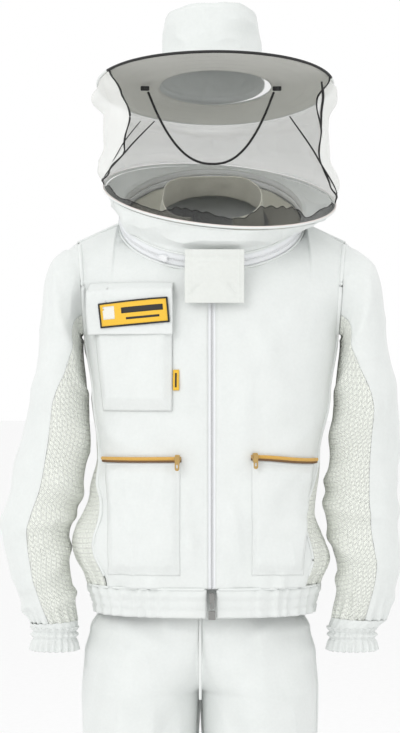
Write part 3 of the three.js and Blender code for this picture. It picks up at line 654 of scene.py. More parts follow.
def new_object(name, vertices, faces, mat, body, uvs=None, smooth_shade=True):
    """A mesh object from points in millimetres. uvs are one pair in metres for each vertex."""
    mesh = bpy.data.meshes.new(name)
    mesh.from_pydata((np.asarray(vertices) * MM).tolist(), [], [tuple(map(int, f)) for f in faces])
    if uvs is not None:
        layer = mesh.uv_layers.new(name="cloth")
        index = np.empty(len(mesh.loops), np.int64)
        mesh.loops.foreach_get("vertex_index", index)
        layer.data.foreach_set("uv", np.asarray(uvs, float)[index].astype(np.float32).ravel())
    mesh.polygons.foreach_set("use_smooth", [smooth_shade] * len(mesh.polygons))
    mesh.materials.append(mat)
    mesh.update()
    made = bpy.data.objects.new(name, mesh)
    bpy.context.scene.collection.objects.link(made)
    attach(made, body)
    return made


def lengths(p):
    """Distances along the rows and the columns of a grid of points, in metres, for UVs."""
    across = np.linalg.norm(np.diff(p, axis=1), axis=-1)
    along = np.linalg.norm(np.diff(p, axis=0), axis=-1)
    u = np.concatenate([np.zeros((p.shape[0], 1)), np.cumsum(across, axis=1)], axis=1)
    v = np.concatenate([np.zeros((1, p.shape[1])), np.cumsum(along, axis=0)], axis=0)
    u = u - u[:, u.shape[1] // 2 : u.shape[1] // 2 + 1]
    return np.stack([u, v], axis=-1) * MM


def sheet_mesh(name, p, mat, thickness, core, replaced=None, body="garment", closed=False):
    """A cloth through the grid p (rows, columns, 3) that faces away from core(points)."""
    rows, columns = p.shape[:2]
    flat = p.reshape(-1, 3)
    faces = []
    step = columns if closed else columns - 1
    for i in range(rows - 1):
        for j in range(step):
            k = (j + 1) % columns
            faces.append((i * columns + j, i * columns + k, (i + 1) * columns + k, (i + 1) * columns + j))
    f = np.array(faces)
    n = np.cross(flat[f[:, 1]] - flat[f[:, 0]], flat[f[:, 2]] - flat[f[:, 0]])
    if (n * (flat[f[:, 0]] - core(flat[f[:, 0]]))).sum() < 0:
        faces = [tuple(reversed(g)) for g in faces]
    made = new_object(name, flat, faces, mat, body, lengths(p).reshape(-1, 2))
    if thickness:
        solid = made.modifiers.new("thickness", "SOLIDIFY")
        solid.thickness = thickness * MM
        solid.offset = -1.0
    if replaced:
        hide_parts(replaced)
    return made


def declare_sheet(p):
    """Takes the steps across and down a cloth's grid of points; nothing is kept or returned."""
    across, down = np.diff(p, axis=1), np.diff(p, axis=0)


STITCH_WIDTH = 0.5


def stitches(name, line, normal, body="garment", length=2.6, gap=1.3, mat=THREAD, lift=0.25):
    """A row of stitches along a line of points with normals: short rounded thread pieces."""
    line = np.asarray(line, float)
    steps = np.linalg.norm(np.diff(line, axis=0), axis=1)
    at = np.concatenate([[0], np.cumsum(steps)])
    count = int(at[-1] / (length + gap))
    if count < 1:
        return
    starts = (np.arange(count) + 0.5) * at[-1] / count
    verts, faces = [], []
    for s in starts:
        ends = []
        for q in (s - length / 2, s, s + length / 2):
            ends.append(np.array([np.interp(q, at, line[:, k]) for k in range(3)]))
        n = np.array([np.interp(s, at, normal[:, k]) for k in range(3)])
        n /= np.linalg.norm(n)
        run = ends[2] - ends[0]
        run /= max(np.linalg.norm(run), 1e-9)
        side = np.cross(run, n)
        base = len(verts)
        for e, h, w in (
            (ends[0], -0.3, 0.6), (ends[1], lift + STITCH_WIDTH * 0.6, 1.0), (ends[2], -0.3, 0.6)
        ):
            for a in (-1, 0, 1):
                verts.append(e + side * a * STITCH_WIDTH * 0.55 * w + n * (h if a == 0 else h - 0.35))
        for r in (0, 3):
            for c in (0, 1):
                faces.append((base + r + c, base + r + c + 1, base + r + c + 4, base + r + c + 3))
    new_object(name, verts, faces, mat, body)


def tube(
    name, points, radius, mat=COTTON, body="garment", sides=8, closed=False, flat=1.0, up=(0, 0, 1)
):
    """A round or flattened tube along points."""
    points = np.asarray(points, float)
    count = len(points)
    if closed:
        tangent = np.roll(points, -1, 0) - np.roll(points, 1, 0)
    else:
        tangent = np.gradient(points, axis=0)
    tangent = unit(tangent)
    side = unit(np.cross(tangent, np.broadcast_to(np.asarray(up, float), tangent.shape)))
    lift = np.cross(side, tangent)
    radius = np.broadcast_to(np.asarray(radius, float), (count,))
    verts = []
    for i in range(count):
        for k in range(sides):
            a = 2 * math.pi * k / sides
            verts.append(points[i] + radius[i] * (math.cos(a) * side[i] * flat + math.sin(a) * lift[i]))
    faces = []
    for i in range(count if closed else count - 1):
        j = (i + 1) % count
        for k in range(sides):
            m = (k + 1) % sides
            faces.append((i * sides + k, i * sides + m, j * sides + m, j * sides + k))
    if not closed:
        faces.append(tuple(range(sides)))
        faces.append(tuple(reversed([(count - 1) * sides + k for k in range(sides)])))
    return new_object(name, verts, faces, mat, body)


# ------------------------------------------------------------------ jacket body
ZIP_HALF = 5.6


def share_at(surface, distance, v):
    low, high = np.zeros_like(v), np.full_like(v, 0.5)
    for _ in range(24):
        middle = (low + high) / 2
        inside = np.abs(surface(middle, v)[..., 0]) < distance
        low, high = np.where(inside, middle, low), np.where(inside, high, middle)
    return low


def relief_on(surface, u, v, core, height):
    p = surface(u, v)
    return p + normals(surface, u, v, core) * height(p)[..., None]


def side_relief(p):
    low = smooth((-500 - p[..., 2]) / 60)
    gather = np.sin(p[..., 1] / 4.6 + 1.5 * noise(p, (30, 30, 60), 9))
    return 2.2 * low * gather + 2.6 * ridged(p, (60, 50, 80), 15) + 1.5 * noise(p, (40, 40, 50), 6) - 1.5


def back_relief(p):
    low = smooth((-430 - p[..., 2]) / 110)
    gather = np.sin(p[..., 0] / 5.0 + 1.5 * noise(p, (30, 30, 60), 21)) * smooth((-545 - p[..., 2]) / 40)
    total = 2.2 * gather + 2.4 * low * ridged(p, (46, 60, 120), 22) + 1.6 * noise(p, (70, 70, 110), 23)
    for a, b in (
        ((-150, 110, -120), (-60, 125, -330)), ((150, 110, -140), (50, 125, -360)),
        ((-160, 80, -500), (-40, 124, -430)),
    ):
        total += crease(p, a, b, 15, 3.0)
    return total


for side in ("left", "right"):
    surface = FRONT[side]
    u, v = grid(64, 170)
    start = share_at(surface, ZIP_HALF, v)
    u = lerp(start, 0.991, u)
    p = relief_on(surface, u, v, axis_core, lambda q: front_relief(side, q))
    sheet_mesh(f"jacket_front_{side}", p, COTTON, 1.8, axis_core, f"front_panel_{side}")
    edge = p[:, 2]
    out = normals(surface, u, v, axis_core)
    stitches(f"zip_stitches_{side}", edge, out[:, 2])
    near_arm = p[int(170 * CHEST_SHARE) :, 61]
    stitches(f"armhole_stitches_{side}", near_arm, out[int(170 * CHEST_SHARE) :, 61])
    neck_line = p[166, : int(64 * NECK_SHARE)]
    stitches(f"neck_stitches_{side}", neck_line, out[166, : int(64 * NECK_SHARE)])

    along = np.linspace(0.03, 0.975, 170)
    for part, half in (("front", surface), ("back", BACK[side])):
        seam_line = half(np.full(170, 0.992), along)
        inner = half(np.full(170, 0.97), along)
        relief = front_relief(side, inner) if part == "front" else 0.0
        out = normals(half, np.full(170, 0.985), along, axis_core)
        line = seam_line + out * (0.3 + 0.5 * np.asarray(relief))[..., None]
        tube(f"panel_seam_{part}_{side}", line, 2.5, flat=1.35)

    u, v = grid(40, 120)
    turn = lambda a, b: lerp(
        90 - (through(SEAM_ANGLE, lerp(HEM_TOP, CHEST_Z - 2, b)) - 0.9),
        90 + (through(SEAM_ANGLE, lerp(HEM_TOP, CHEST_Z - 2, b)) - 0.9), a,
    )
    side_surface = lambda a, b: torso(SIGN[side] * turn(a, b), lerp(HEM_TOP, CHEST_Z - 2, b))
    p = relief_on(side_surface, u, v, axis_core, side_relief)
    sheet_mesh(f"jacket_side_mesh_{side}", p, VENT, 3.0, axis_core, f"side_mesh_{side}")

u, v = grid(130, 170, -0.985, 0.985)
back_surface = lambda a, b: np.where(
    (a < 0)[..., None], BACK["right"](np.abs(a), b), BACK["left"](np.abs(a), b)
)
p = relief_on(back_surface, u, v, axis_core, back_relief)
sheet_mesh("jacket_back", p, COTTON, 1.8, axis_core, "back_panel")

angle = np.linspace(2, 358, 300)
line = torso(angle, np.full(300, HEM_TOP - 0.4))
line = line + unit(line - axis_core(line)) * 0.6
tube("hem_seam", line, 2.0)

# hem band: gathered by elastic at the sides and back, flat at the centre front
for side in ("left", "right"):
    u, v = grid(240, 12)
    band_surface = lambda a, b: torso(SIGN[side] * lerp(1.4, 179.9, a), lerp(HEM_BOTTOM, HEM_TOP - 0.8, b))

    def band_relief(q):
        gathered = smooth((np.abs(q[..., 0]) - 50) / 40) + smooth(q[..., 1] / 60)
        along = np.arctan2(q[..., 0], -q[..., 1])
        ruffle = np.sin(along * 46 + 2.0 * noise(q, (24, 24, 200), 31)) * np.clip(gathered, 0, 1)
        height = (q[..., 2] - HEM_BOTTOM) / (HEM_TOP - HEM_BOTTOM)
        channels = 1 - 0.55 * bell(height - 0.33, 0.05) - 0.55 * bell(height - 0.66, 0.05)
        puff = 2.2 * np.abs(np.sin(np.pi * 1.5 * height + np.pi / 4)) ** 0.5
        return (2.3 * ruffle + puff) * channels - 1.2

    p = relief_on(band_surface, u, v, axis_core, band_relief)
    sheet_mesh(f"jacket_hem_{side}", p, COTTON, 2.2, axis_core, f"hem_band_{side}")
    out = normals(band_surface, u, v, axis_core)
    for row in (1, 11):
        stitches(f"hem_stitches_{side}_{row}", p[row, 2:60], out[row, 2:60])


# ------------------------------------------------------------------ sleeves and cuffs
def elbow_folds(side, turn, v, p):
    """Folds round the elbow and along the arm, in the sleeve's own coordinates."""
    sleeve_v = v * 7
    total = 2.4 * noise(p, (60, 60, 80), 41) + 1.7 * ridged(p, (40, 40, 50), 42)
    rows = (
        (1.3, 40, 150, 0.22, 3.6), (2.2, 120, 190, 0.20, 3.2), (3.3, 60, 230, 0.24, 3.8),
        (4.2, 90, 250, 0.17, 4.4), (4.8, 40, 200, 0.15, 4.8), (5.3, 110, 260, 0.15, 4.4),
        (5.8, 20, 160, 0.16, 4.0), (6.3, 90, 230, 0.14, 3.8), (6.6, -60, 60, 0.15, 3.4),
        (3.7, -70, 40, 0.22, 2.6), (5.0, -80, 30, 0.17, 3.4), (2.6, -40, 60, 0.25, 2.4),
    )
    for centre, first, last, width, height in rows:
        past = np.mod(turn - first + 720, 360)
        span = last - first
        inside = smooth(past / 25) * smooth((span - past) / 25) * (past < span)
        slope = (past / span - 0.5) * (0.7 if centre < 4.5 else -0.5)
        total += 1.3 * height * inside * bell(sleeve_v - centre - slope, width)
    end = smooth((sleeve_v - 6.3) / 0.7)
    total += 2.0 * end * np.sin(rad(turn) * 17 + 1.2 * noise(p, 22, 44))
    head = bell(sleeve_v, 0.5) * np.cos(rad(turn)) ** 2 * (np.cos(rad(turn)) > 0)
    beside = np.clip(-np.cos(rad(turn)), 0, 1) ** 2
    rest = through(
        [(0, 0), (0.06, 0), (0.14, 7), (0.45, 7.5), (0.53, 2), (0.62, 2), (0.7, 6), (0.9, 3), (1, 0)], v
    )
    return total * smooth(v * 26) - 0.8 + 0.8 * head + rest * beside


for side in ("left", "right"):
    surface, core = sleeve(side), sleeve_core(side)

    def panel(centre, columns, name, mat, replaced, thick):
        u, v = grid(columns, 200)
        seam = through(SLEEVE_SEAM, v) - 0.2
        reach = seam if centre else 179.6 - seam
        turn = centre + (2 * u - 1) * reach
        p = surface(turn, v)
        scaled = lambda a, b: surface(a * 100, b)
        n = normals(scaled, turn / 100, v, core)
        p = p + n * elbow_folds(side, turn, v, p)[..., None]
        sheet_mesh(name, p, mat, thick, core, replaced)
        return p, n

    p, n = panel(0, 110, f"sleeve_cloth_{side}", COTTON, f"sleeve_{side}", 1.8)
    stitches(f"sleeve_stitches_front_{side}", p[6:, -3], n[6:, -3])
    stitches(f"sleeve_stitches_back_{side}", p[6:, 2], n[6:, 2])
    stitches(f"sleeve_head_stitches_{side}", p[3], n[3])
    panel(180, 100, f"sleeve_vent_{side}", VENT, f"sleeve_mesh_{side}", 2.4)

    ox, ix = CUFF[side]
    middle = np.array([SIGN[side] * (ox + ix) / 2, -25.0])
    half = (ox - ix) / 2
    turn, v = np.meshgrid(around(288), np.linspace(0, 1, 30))
    height = lerp(CUFF_TOP, CUFF_BOTTOM, v)
    ruffle = np.sin(rad(turn) * 21 + 1.4 * noise(xyz(turn / 9, v * 2, 0), 3, 51))
    # two elastic channels pinch the cuff, and its free edge flares into a frill
    profile = through(
        [(0, 1.5), (0.12, -0.5), (0.2, -3.4), (0.34, 0.6), (0.5, -3.4), (0.62, -0.8), (0.8, 0.6), (1, 1.8)], v
    )
    wave = through([(0, 1.6), (0.2, 0.9), (0.34, 1.8), (0.5, 0.9), (0.75, 2.2), (1, 2.6)], v)
    radius = half + profile + wave * ruffle
    p = xyz(
        middle[0] + radius * np.cos(rad(turn)), middle[1] - radius * 0.98 * np.sin(rad(turn)),
        height + 1.2 * ruffle * v,
    )
    cuff_core = lambda q: xyz(middle[0], middle[1], q[..., 2])
    turn2, t = np.meshgrid(around(288), np.linspace(0, 1, 10))
    end_ring = station(side, SLEEVE[side][-1], turn2)
    cuff_ring = xyz(
        middle[0] + (half + 0.5) * np.cos(rad(turn2)) * SIGN[side], middle[1] - half * np.sin(rad(turn2)),
        -656.5,
    )
    gathered = lerp(end_ring, cuff_ring, (t**1.6)[..., None])
    gathered = gathered + (gathered - cuff_core(gathered)) * (
        0.02 * np.sin(rad(turn2) * 17) * np.sin(np.pi * t)
    )[..., None]
    sheet_mesh(f"sleeve_gather_{side}", gathered, COTTON, 1.2, cuff_core, closed=True)
    sheet_mesh(f"cuff_gathered_{side}", p, COTTON, 1.6, cuff_core, f"cuff_{side}", closed=True)


# ------------------------------------------------------------------ neck: facing, collar, zip
def below_core(p):
    return p - np.array([0, 0, 10.0])


u, v = grid(160, 12)
yoke_surface = lambda a, b: neck_ring(lerp(9, 351, a), lerp(91.0, 144.2, b), lerp(-7.0, -9.0, b))
p = relief_on(yoke_surface, u, v, below_core, lambda q: 1.5 * noise(q, (24, 24, 24), 61) - 1.0)
# the neck facing takes the painted-shade cream cotton
sheet_mesh("neck_facing", p, COTTON_PAINTED_SHADE, 1.5, below_core, "neck_yoke")

u, v = grid(120, 24)


def collar_surface(a, b):
    turn = lerp(24, 336, a)
    fall = 5 * np.cos(rad(turn) * 3) * b
    return neck_ring(turn, 84.5 - 6 * b + 1.2 * np.sin(rad(turn) * 5) * b, lerp(-5, 43, b) + fall - 5 * b)


ring_core = lambda q: xyz(0, -8 - 0.35 * q[..., 2], q[..., 2])
p = relief_on(collar_surface, u, v, ring_core, lambda q: 1.2 * noise(q, (20, 20, 20), 62) + 0.8)
# the stand collar takes the painted-shade cream cotton
sheet_mesh("stand_collar", p, COTTON_PAINTED_SHADE, 1.7, ring_core, "inner_collar")
n = normals(collar_surface, u, v, ring_core)
# the collar's stitches take the painted-shade grey thread
stitches("collar_top_stitches", p[21, 3:-3], n[21, 3:-3], mat=THREAD_PAINTED_SHADE)
for k in (3, -4):
    stitches(f"collar_end_stitches_{abs(k)}", p[3:-2, k], n[3:-2, k], mat=THREAD_PAINTED_SHADE)


def ring_tape(name, low, high, body, node_name):
    u, v = grid(220, 3)
    surface = lambda a, b: neck_ring(a * 360, NECK_R, lerp(low, high, b))
    p = surface(u[:, :-1], v[:, :-1])
    sheet_mesh(name, p, ZIP_TAPE, 1.3, ring_core, node_name, body=body, closed=True)
    for height in (low + (high - low) * 0.2, low + (high - low) * 0.82):
        turn = np.linspace(0, 360, 260)
        line = neck_ring(turn, NECK_R, height)
        stitches(
            f"{name}_stitches_{int(abs(height) * 10)}", line, line - neck_ring(turn, NECK_R - 5, height), body
        )


ring_tape("neck_tape_lower", -TAPE_WIDTH, -0.3, "garment", "neck_zip_lower_tape")
ring_tape("neck_tape_upper", 0.3, TAPE_WIDTH, "hood", "neck_zip_upper_tape")


def teeth(name, places, body, size=(1.9, 2.6, 1.5)):
    """Small rounded zip teeth: places is a list of (centre, across, along, out)."""
    corners = np.array([(x, y, z) for x in (-1, 1) for y in (-1, 1) for z in (-1, 1)], float)
    shape = corners * 0.5
    faces_one = ((0, 1, 3, 2), (4, 6, 7, 5), (0, 4, 5, 1), (2, 3, 7, 6), (0, 2, 6, 4), (1, 5, 7, 3))
    verts, faces = [], []
    for centre, across, along, out in places:
        base = len(verts)
        for c in shape:
            taper = 0.78 if c[2] > 0 else 1.0
            edge = centre + across * c[1] * size[1] * taper + along * c[0] * size[0] * taper
            verts.append(edge + out * (c[2] + 0.35) * size[2])
        faces += [tuple(base + k for k in f) for f in faces_one]
    new_object(name, verts, faces, ZIP_TEETH, body, smooth_shade=False)


def ring_teeth(name, height, shift, body):
    places = []
    count = 300
    for k in range(count):
        turn = (k + shift) * 360 / count
        centre = neck_ring(turn, NECK_R, height)
        out = centre - neck_ring(turn, NECK_R - 10, height)
        across = neck_ring(turn, NECK_R, height + 10) - centre
        along = neck_ring(turn + 1, NECK_R, height) - centre
        places.append((centre, across / 10, along / np.linalg.norm(along), out / 10))
    teeth(name, places, body, (1.7, 2.4, 1.4))


ring_teeth("neck_teeth_lower", -1.7, 0.0, "garment")
ring_teeth("neck_teeth_upper", 1.7, 0.5, "hood")

turn = around(360)
line = neck_ring(turn, NECK_R + 1.2, -TAPE_WIDTH - 1.3)
tube("neck_seam_low", line, 1.9, closed=True)
line = neck_ring(turn, NECK_R - 0.4, TAPE_WIDTH + 1.2)
tube("neck_seam_high", line, 1.7, body="hood", closed=True)

# front zip
for side in ("left", "right"):
    sign = SIGN[side]
    u, v = grid(4, 150)
    line = FRONT[side](np.zeros_like(v) + 0.002, v)
    # the free edge of the tape tucks a little under the panel beside it
    p = xyz(sign * lerp(0.5, 11.5, u), line[..., 1] + 1.2 - 0.4 * np.sin(np.pi * u), line[..., 2])
    sheet_mesh(f"front_tape_{side}", p, ZIP_TAPE, 1.2, axis_core, f"front_zip_tape_{side}")
    places = []
    z = np.arange(HEM_TOP + 4, -98, 2.6) + (1.3 if side == "left" else 0)
    vv = np.interp(z, FRONT[side](np.full(400, 0.002), np.linspace(0, 1, 400))[:, 2], np.linspace(0, 1, 400))
    points = FRONT[side](np.full(len(z), 0.002), vv)
    for q in points:
        places.append(
            (
                np.array([sign * 1.3, q[1] + 0.7, q[2]]), np.array([1.0, 0, 0]), np.array([0, 0, 1.0]),
                np.array([0, -1.0, 0]),
            )
        )
    teeth(f"front_teeth_{side}", places, "garment", (1.5, 2.5, 1.3))


# ------------------------------------------------------------------ zip sliders and pulls
def bevelled_copy(cad_node, name, body, width, mat):
    """The CAD piece with rounded edges."""
    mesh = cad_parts[cad_node].data.copy()
    made = bpy.data.objects.new(name, mesh)
    bpy.context.scene.collection.objects.link(made)
    mesh.materials.clear()
    mesh.materials.append(mat)
    weld = made.modifiers.new("weld", "WELD")
    weld.merge_threshold = 0.00002
    rounded = made.modifiers.new("rounded", "BEVEL")
    rounded.width = width * MM
    rounded.segments = 3
    rounded.limit_method = "ANGLE"
    rounded.angle_limit = rad(30.0)
    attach(made, body)
    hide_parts(cad_node)


for cad_node, body, width, mat in (
    ("front_zip_top_slider", "front_top_slider", 0.9, METAL),
    ("front_zip_lower_slider", "front_lower_slider", 0.9, METAL),
    ("front_zip_lower_pull", "front_lower_pull", 0.4, METAL),
    ("front_zip_retainer_box", "garment", 1.0, METAL),
    ("neck_zip_slider", "neck_slider", 0.9, ZIP_TEETH),
    ("pocket_left_slider", "left_pocket_slider", 0.9, BRONZE),
    ("pocket_left_pull", "left_pocket_pull", 0.4, BRONZE),
    ("pocket_right_slider", "right_pocket_slider", 0.9, BRONZE),
    ("pocket_right_pull", "right_pocket_pull", 0.4, BRONZE),
):
    bevelled_copy(cad_node, f"{cad_node}_metal", body, width, mat)


# ------------------------------------------------------------------ hat
u, v = grid(180, 16)
share = lerp(0.47, 0.985, v)
# the brim's underside takes the painted-shade cotton, its top the plain white cotton
for name, height, mat, facing in (("brim_underside_painted_shade", 0.2, BRIM_PAINTED_SHADE, -1), ("brim_top", 2.8, COTTON, 1)):
    p = ring(BRIM, (u * 360)[:, :-1], share[:, :-1]) + np.array([0, 0, height])
    p[..., 2] += 0.5 * noise(p, (40, 40, 40), 71)
    reference = lambda q: q - np.array([0, 0, 10.0 * facing])
    sheet_mesh(name, p, mat, 1.2, reference, "hat_brim", body="hood", closed=True)
for k, fraction in enumerate((0.56, 0.66, 0.76, 0.86, 0.955)):
    turn = np.linspace(0, 360, 400)
    line = ring(BRIM, turn, fraction)
    rise = np.broadcast_to(np.array([0.0, -0.2, 0.98]), line.shape)
    stitches(f"brim_stitches_top_{k}", line + np.array([0, 0, 2.9]), rise, "hood", length=3.2, gap=1.6)
    # stitches under the brim take the painted-shade grey thread
    stitches(
        f"brim_stitches_under_{k}", line + np.array([0, 0, 0.1]), -rise, "hood", length=3.2, gap=1.6,
        mat=THREAD_PAINTED_SHADE,
    )
front_arc = np.linspace(-64, 76, 160)
back_arc = np.linspace(76, 296, 200)
tube("brim_binding_front", ring(BRIM, front_arc, 0.99) + np.array([0, 0, 0.6]), 2.3, BLACK, body="hood")
tube("brim_binding_back", ring(BRIM, back_arc, 0.99) + np.array([0, 0, 1.4]), 2.2, body="hood")

HAT_TILT = math.atan2(BRIM["rise"], BRIM["d"])
CROWN_H, CROWN_HALF_WIDTH, CROWN_HALF_DEPTH = 117.0, 82, 96
WALL_SHARE = 0.62


def crown_point(turn, s):
    """s runs from 0 at the base to 1 at the middle of the top."""
    wall = np.clip(s / WALL_SHARE, 0, 1)
    cap = np.clip((s - WALL_SHARE) / 0.38, 0, 1)
    corner = smooth((s - 0.48) / 0.26)
    radius = lerp(1.04, 0.93, wall) * (1 - cap**1.6)
    height = CROWN_H * (0.95 * wall + 0.05 * smooth(cap * 2.2))
    radius = radius * (1 - 0.03 * corner * (1 - cap))
    x = radius * CROWN_HALF_WIDTH * powered(np.sin(rad(turn)), 0.94)
    y = -radius * CROWN_HALF_DEPTH * powered(np.cos(rad(turn)), 0.94)
    c, t = math.cos(HAT_TILT), math.sin(HAT_TILT)
    return xyz(x, y * c + height * t, -y * t + height * c + BRIM["z"] + 4.5)


turn, s = np.meshgrid(around(180), np.linspace(0, 0.996, 90))
p = crown_point(turn, s)
inside = lambda q: np.broadcast_to(np.array([0.0, 12.0, BRIM["z"] + 50]), q.shape)
out = unit(p - inside(p))
rumple = 3.0 * noise(p, (46, 46, 34), 72) + 1.6 * ridged(p, (30, 34, 26), 73) - 2.0
rumple = rumple * smooth(s / 0.12) * (1 - 0.4 * smooth((s - 0.9) / 0.1))
seam = -1.4 * bell(s - 0.60, 0.012) - 0.9 * bell(s - 0.05, 0.008)
for at in (90, 270):
    seam = seam - 1.0 * bell(np.mod(turn - at + 180, 360) - 180, 0.9) * (s < 0.6)
p = p + out * (rumple + seam)[..., None]
sheet_mesh("hat_crown_cloth", p, COTTON, 1.8, inside, "hat_crown", body="hood", closed=True)
for k, row in enumerate((6, 51, 57)):
    line = np.concatenate([p[row], p[row][:1]])
    n = np.concatenate([out[row], out[row][:1]])
    stitches(f"crown_stitches_{k}", line, n, "hood", length=3.0, gap=1.4)


# ------------------------------------------------------------------ veil
def veil_core(q):
    return xyz(8, 2, q[..., 2])


def net_relief(turn, v, p):
    total = 2.0 * noise(p, (50, 50, 90), 81) * np.sin(np.pi * v) ** 0.5
    for t0, v0, t1, v1, width, height in (
        (-33, 0.62, -72, 0.08, 3.2, 3.4), (-48, 0.5, -78, 0.1, 3.0, -2.6), (39, 0.66, 80, 0.05, 3.2, 3.6),
        (46, 0.6, 70, 0.2, 3.0, -2.6), (62, 0.9, 66, 0.45, 3.0, 3.0),
    ):
        a, b = np.array([t0, v0 * 70.0]), np.array([t1, v1 * 70.0])
        q = np.stack([turn, v * 70], -1)
        along = b - a
        t = np.clip(((q - a) @ along) / (along @ along), 0, 1)
        gap = np.linalg.norm(q - (a + t[..., None] * along), axis=-1)
        total = total + height * bell(gap, width) * smooth(t / 0.2) * smooth((1 - t) / 0.2)
    return total


u, v = grid(150, 90)
turn = lerp(through(SEAM_RIGHT, v) + 0.3, through(SEAM_LEFT, v) - 0.3, u)
p = veil(turn, v)
p = p + outward(turn) * net_relief(turn, v, p)[..., None]
face = sheet_mesh("face_net_tulle", p, BLACK_NET, 0, veil_core, "face_net", body="hood")

declare_sheet(p)

turn = np.linspace(-86, 88, 260)
line_height = through(
    [
        (-86, 2), (-77, 9), (-62, 4), (-51, 8), (-32, 7), (-20, 19), (-8, 18), (4, 12), (10, 13), (22, 31),
        (30, 29), (38, 26), (50, 6), (62, 12), (76, 8), (88, 3),
    ],
    turn,
)
t2, w = np.meshgrid(turn, np.linspace(0, 1, 26))
tall = np.broadcast_to(line_height, t2.shape)
crumple = np.sin(rad(t2) * 60 + 2.2 * noise(xyz(t2 / 6, w * 3, 0), 1.0, 82))
bunch = 1.0 + 1.6 * np.sin(np.pi * w) + 1.1 * crumple * w
base_point = hoop_edge(t2, 0.0, 1.2) + outward(t2) * bunch[..., None]
p = base_point + xyz(0, 0, w * tall * (1 + 0.06 * crumple)) - outward(t2) * (4.5 * w)[..., None]
sheet_mesh("face_net_gathers", p, BLACK_BUNCH, 0, veil_core, body="hood")
tube("face_net_gather_edge", p[-1], 0.75, BLACK, body="hood", sides=6)

for side, keys in (("right", SEAM_RIGHT), ("left", SEAM_LEFT)):
    v = np.linspace(0.0, 1.0, 120)
    wobble = 1.2 * np.sin(v * 21) * np.sin(np.pi * v)
    line = veil(through(keys, v) + wobble * 0.5, v) + outward(through(keys, v)) * 0.4
    tube(f"veil_seam_{side}", line, 1.15 + 0.5 * np.sin(v * 17) ** 2, BLACK, body="hood")
for k, (t0, v0, t1, v1, thick) in enumerate(
    (
        (-33, 0.60, -76, 0.09, 1.0), (39, 0.66, 83, 0.03, 1.1), (63, 0.93, 67, 0.60, 1.9),
        (-42, 0.60, -66, 0.26, 0.6),
    )
):
    s = np.linspace(0, 1, 60)
    turn_s, v_s = lerp(t0, t1, s), lerp(v0, v1, s)
    line = veil(turn_s, v_s) + outward(turn_s) * (3.2 * np.sin(np.pi * s))[:, None]
    tube(
        f"net_fold_{k}", line, 0.25 + thick * np.sin(np.pi * np.clip(s * 0.8 + 0.2, 0, 1)) ** 0.7, BLACK,
        body="hood",
    )

u, v = grid(220, 90)
turn = lerp(through(SEAM_LEFT, v) + 0.3, through(SEAM_RIGHT, v) + 360 - 0.3, u)
p = veil(turn, v)
bulge = 7.0 * noise(xyz(turn / 26, v * 3.4, 0), 1.0, 83) + 3.0 * ridged(xyz(turn / 11, v * 2.2, 0), 1.0, 84)
lobes = 8.0 * bell(v - 0.9, 0.10) + 7.0 * bell(v - 0.22, 0.14)
edge = smooth(np.minimum(u, 1 - u) / 0.04) * smooth(v / 0.05) * smooth((1 - v) / 0.04)
p = p + outward(turn) * ((bulge + lobes) * edge)[..., None]
rear = sheet_mesh("rear_veil_net", p, WHITE_NET, 0, veil_core, "rear_veil", body="hood")

declare_sheet(p)

# hoop in its binding
turn = around(360)
for name, radial, height, radius, mat in (
    ("hoop_binding_cloth", 1.8, -0.4, 2.2, COTTON), ("hoop_binding_edge", 3.0, 1.2, 0.9, PINK_BINDING)
):
    line = hoop_edge(turn, radial, height)
    tube(name, line, radius, mat, body="hood", sides=10, closed=True)
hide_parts("veil_hoop")


# ------------------------------------------------------------------ hood base
def inside_above(q):
    return q * np.array([0.5, 0.5, 1.0]) + np.array([0, 0, 40.0])


def base_relief(p, turn, v):
    total = 4.0 * noise(p, (60, 60, 40), 91) + 3.0 * ridged(p, (44, 44, 34), 92) - 1.8
    for at, lean, height in (
        (-58, 6, 5.0), (-47, -7, -3.5), (55, -8, 5.5), (44, 6, -3.5), (-20, 10, 2.0), (18, -12, 2.4)
    ):
        total = total + height * bell(turn - at - lean * v, 5.0) * np.sin(
            np.pi * np.clip(v * 0.8 + 0.15, 0, 1)
        )
    return total * smooth(v / 0.12) * smooth((1 - v) / 0.10)


for name, first, last, columns, mat, replaced in (
    ("hood_bib_cloth", -65.8, 65.8, 160, COTTON, "hood_bib"),
    ("hood_back_cloth", 66.2, 293.8, 240, COTTON, "hood_back"),
):
    u, v = grid(columns, 44)
    turn = lerp(first, last, u)
    base_surface = lambda a, b: hood_base(a * 100, b)
    p = hood_base(turn, v)
    n = normals(base_surface, turn / 100, v, inside_above)
    p = p + n * base_relief(p, turn, v)[..., None]
    sheet_mesh(name, p, mat, 1.5, inside_above, replaced, body="hood")
    stitches(f"{name}_stitches", p[4], n[4], "hood")
    if name == "hood_bib_cloth":
        for k in (2, -3):
            stitches(f"hood_side_stitches_{abs(k)}", p[3:-3, k], n[3:-3, k], "hood")

# ------------------------------------------------------------------ chin cord and its tabs
CORD_X = {"left": 104.0, "right": -106.0}
CORD_END_X = {"left": 99.0, "right": -101.0}
TAB_Y, LOW_POINT, CORD_D = -22.0, (2.0, -74.0, 76.0), 3.8


def brim_under(x, y):
    across, along = (x - BRIM["x"]) / BRIM["w"], -(y - BRIM["y"]) / BRIM["d"]
    wave = BRIM["saddle"] * math.hypot(across, along) ** 2 * math.cos(2 * math.atan2(across, along))
    return BRIM["z"] + BRIM["rise"] * along + BRIM["tilt"] * across + wave


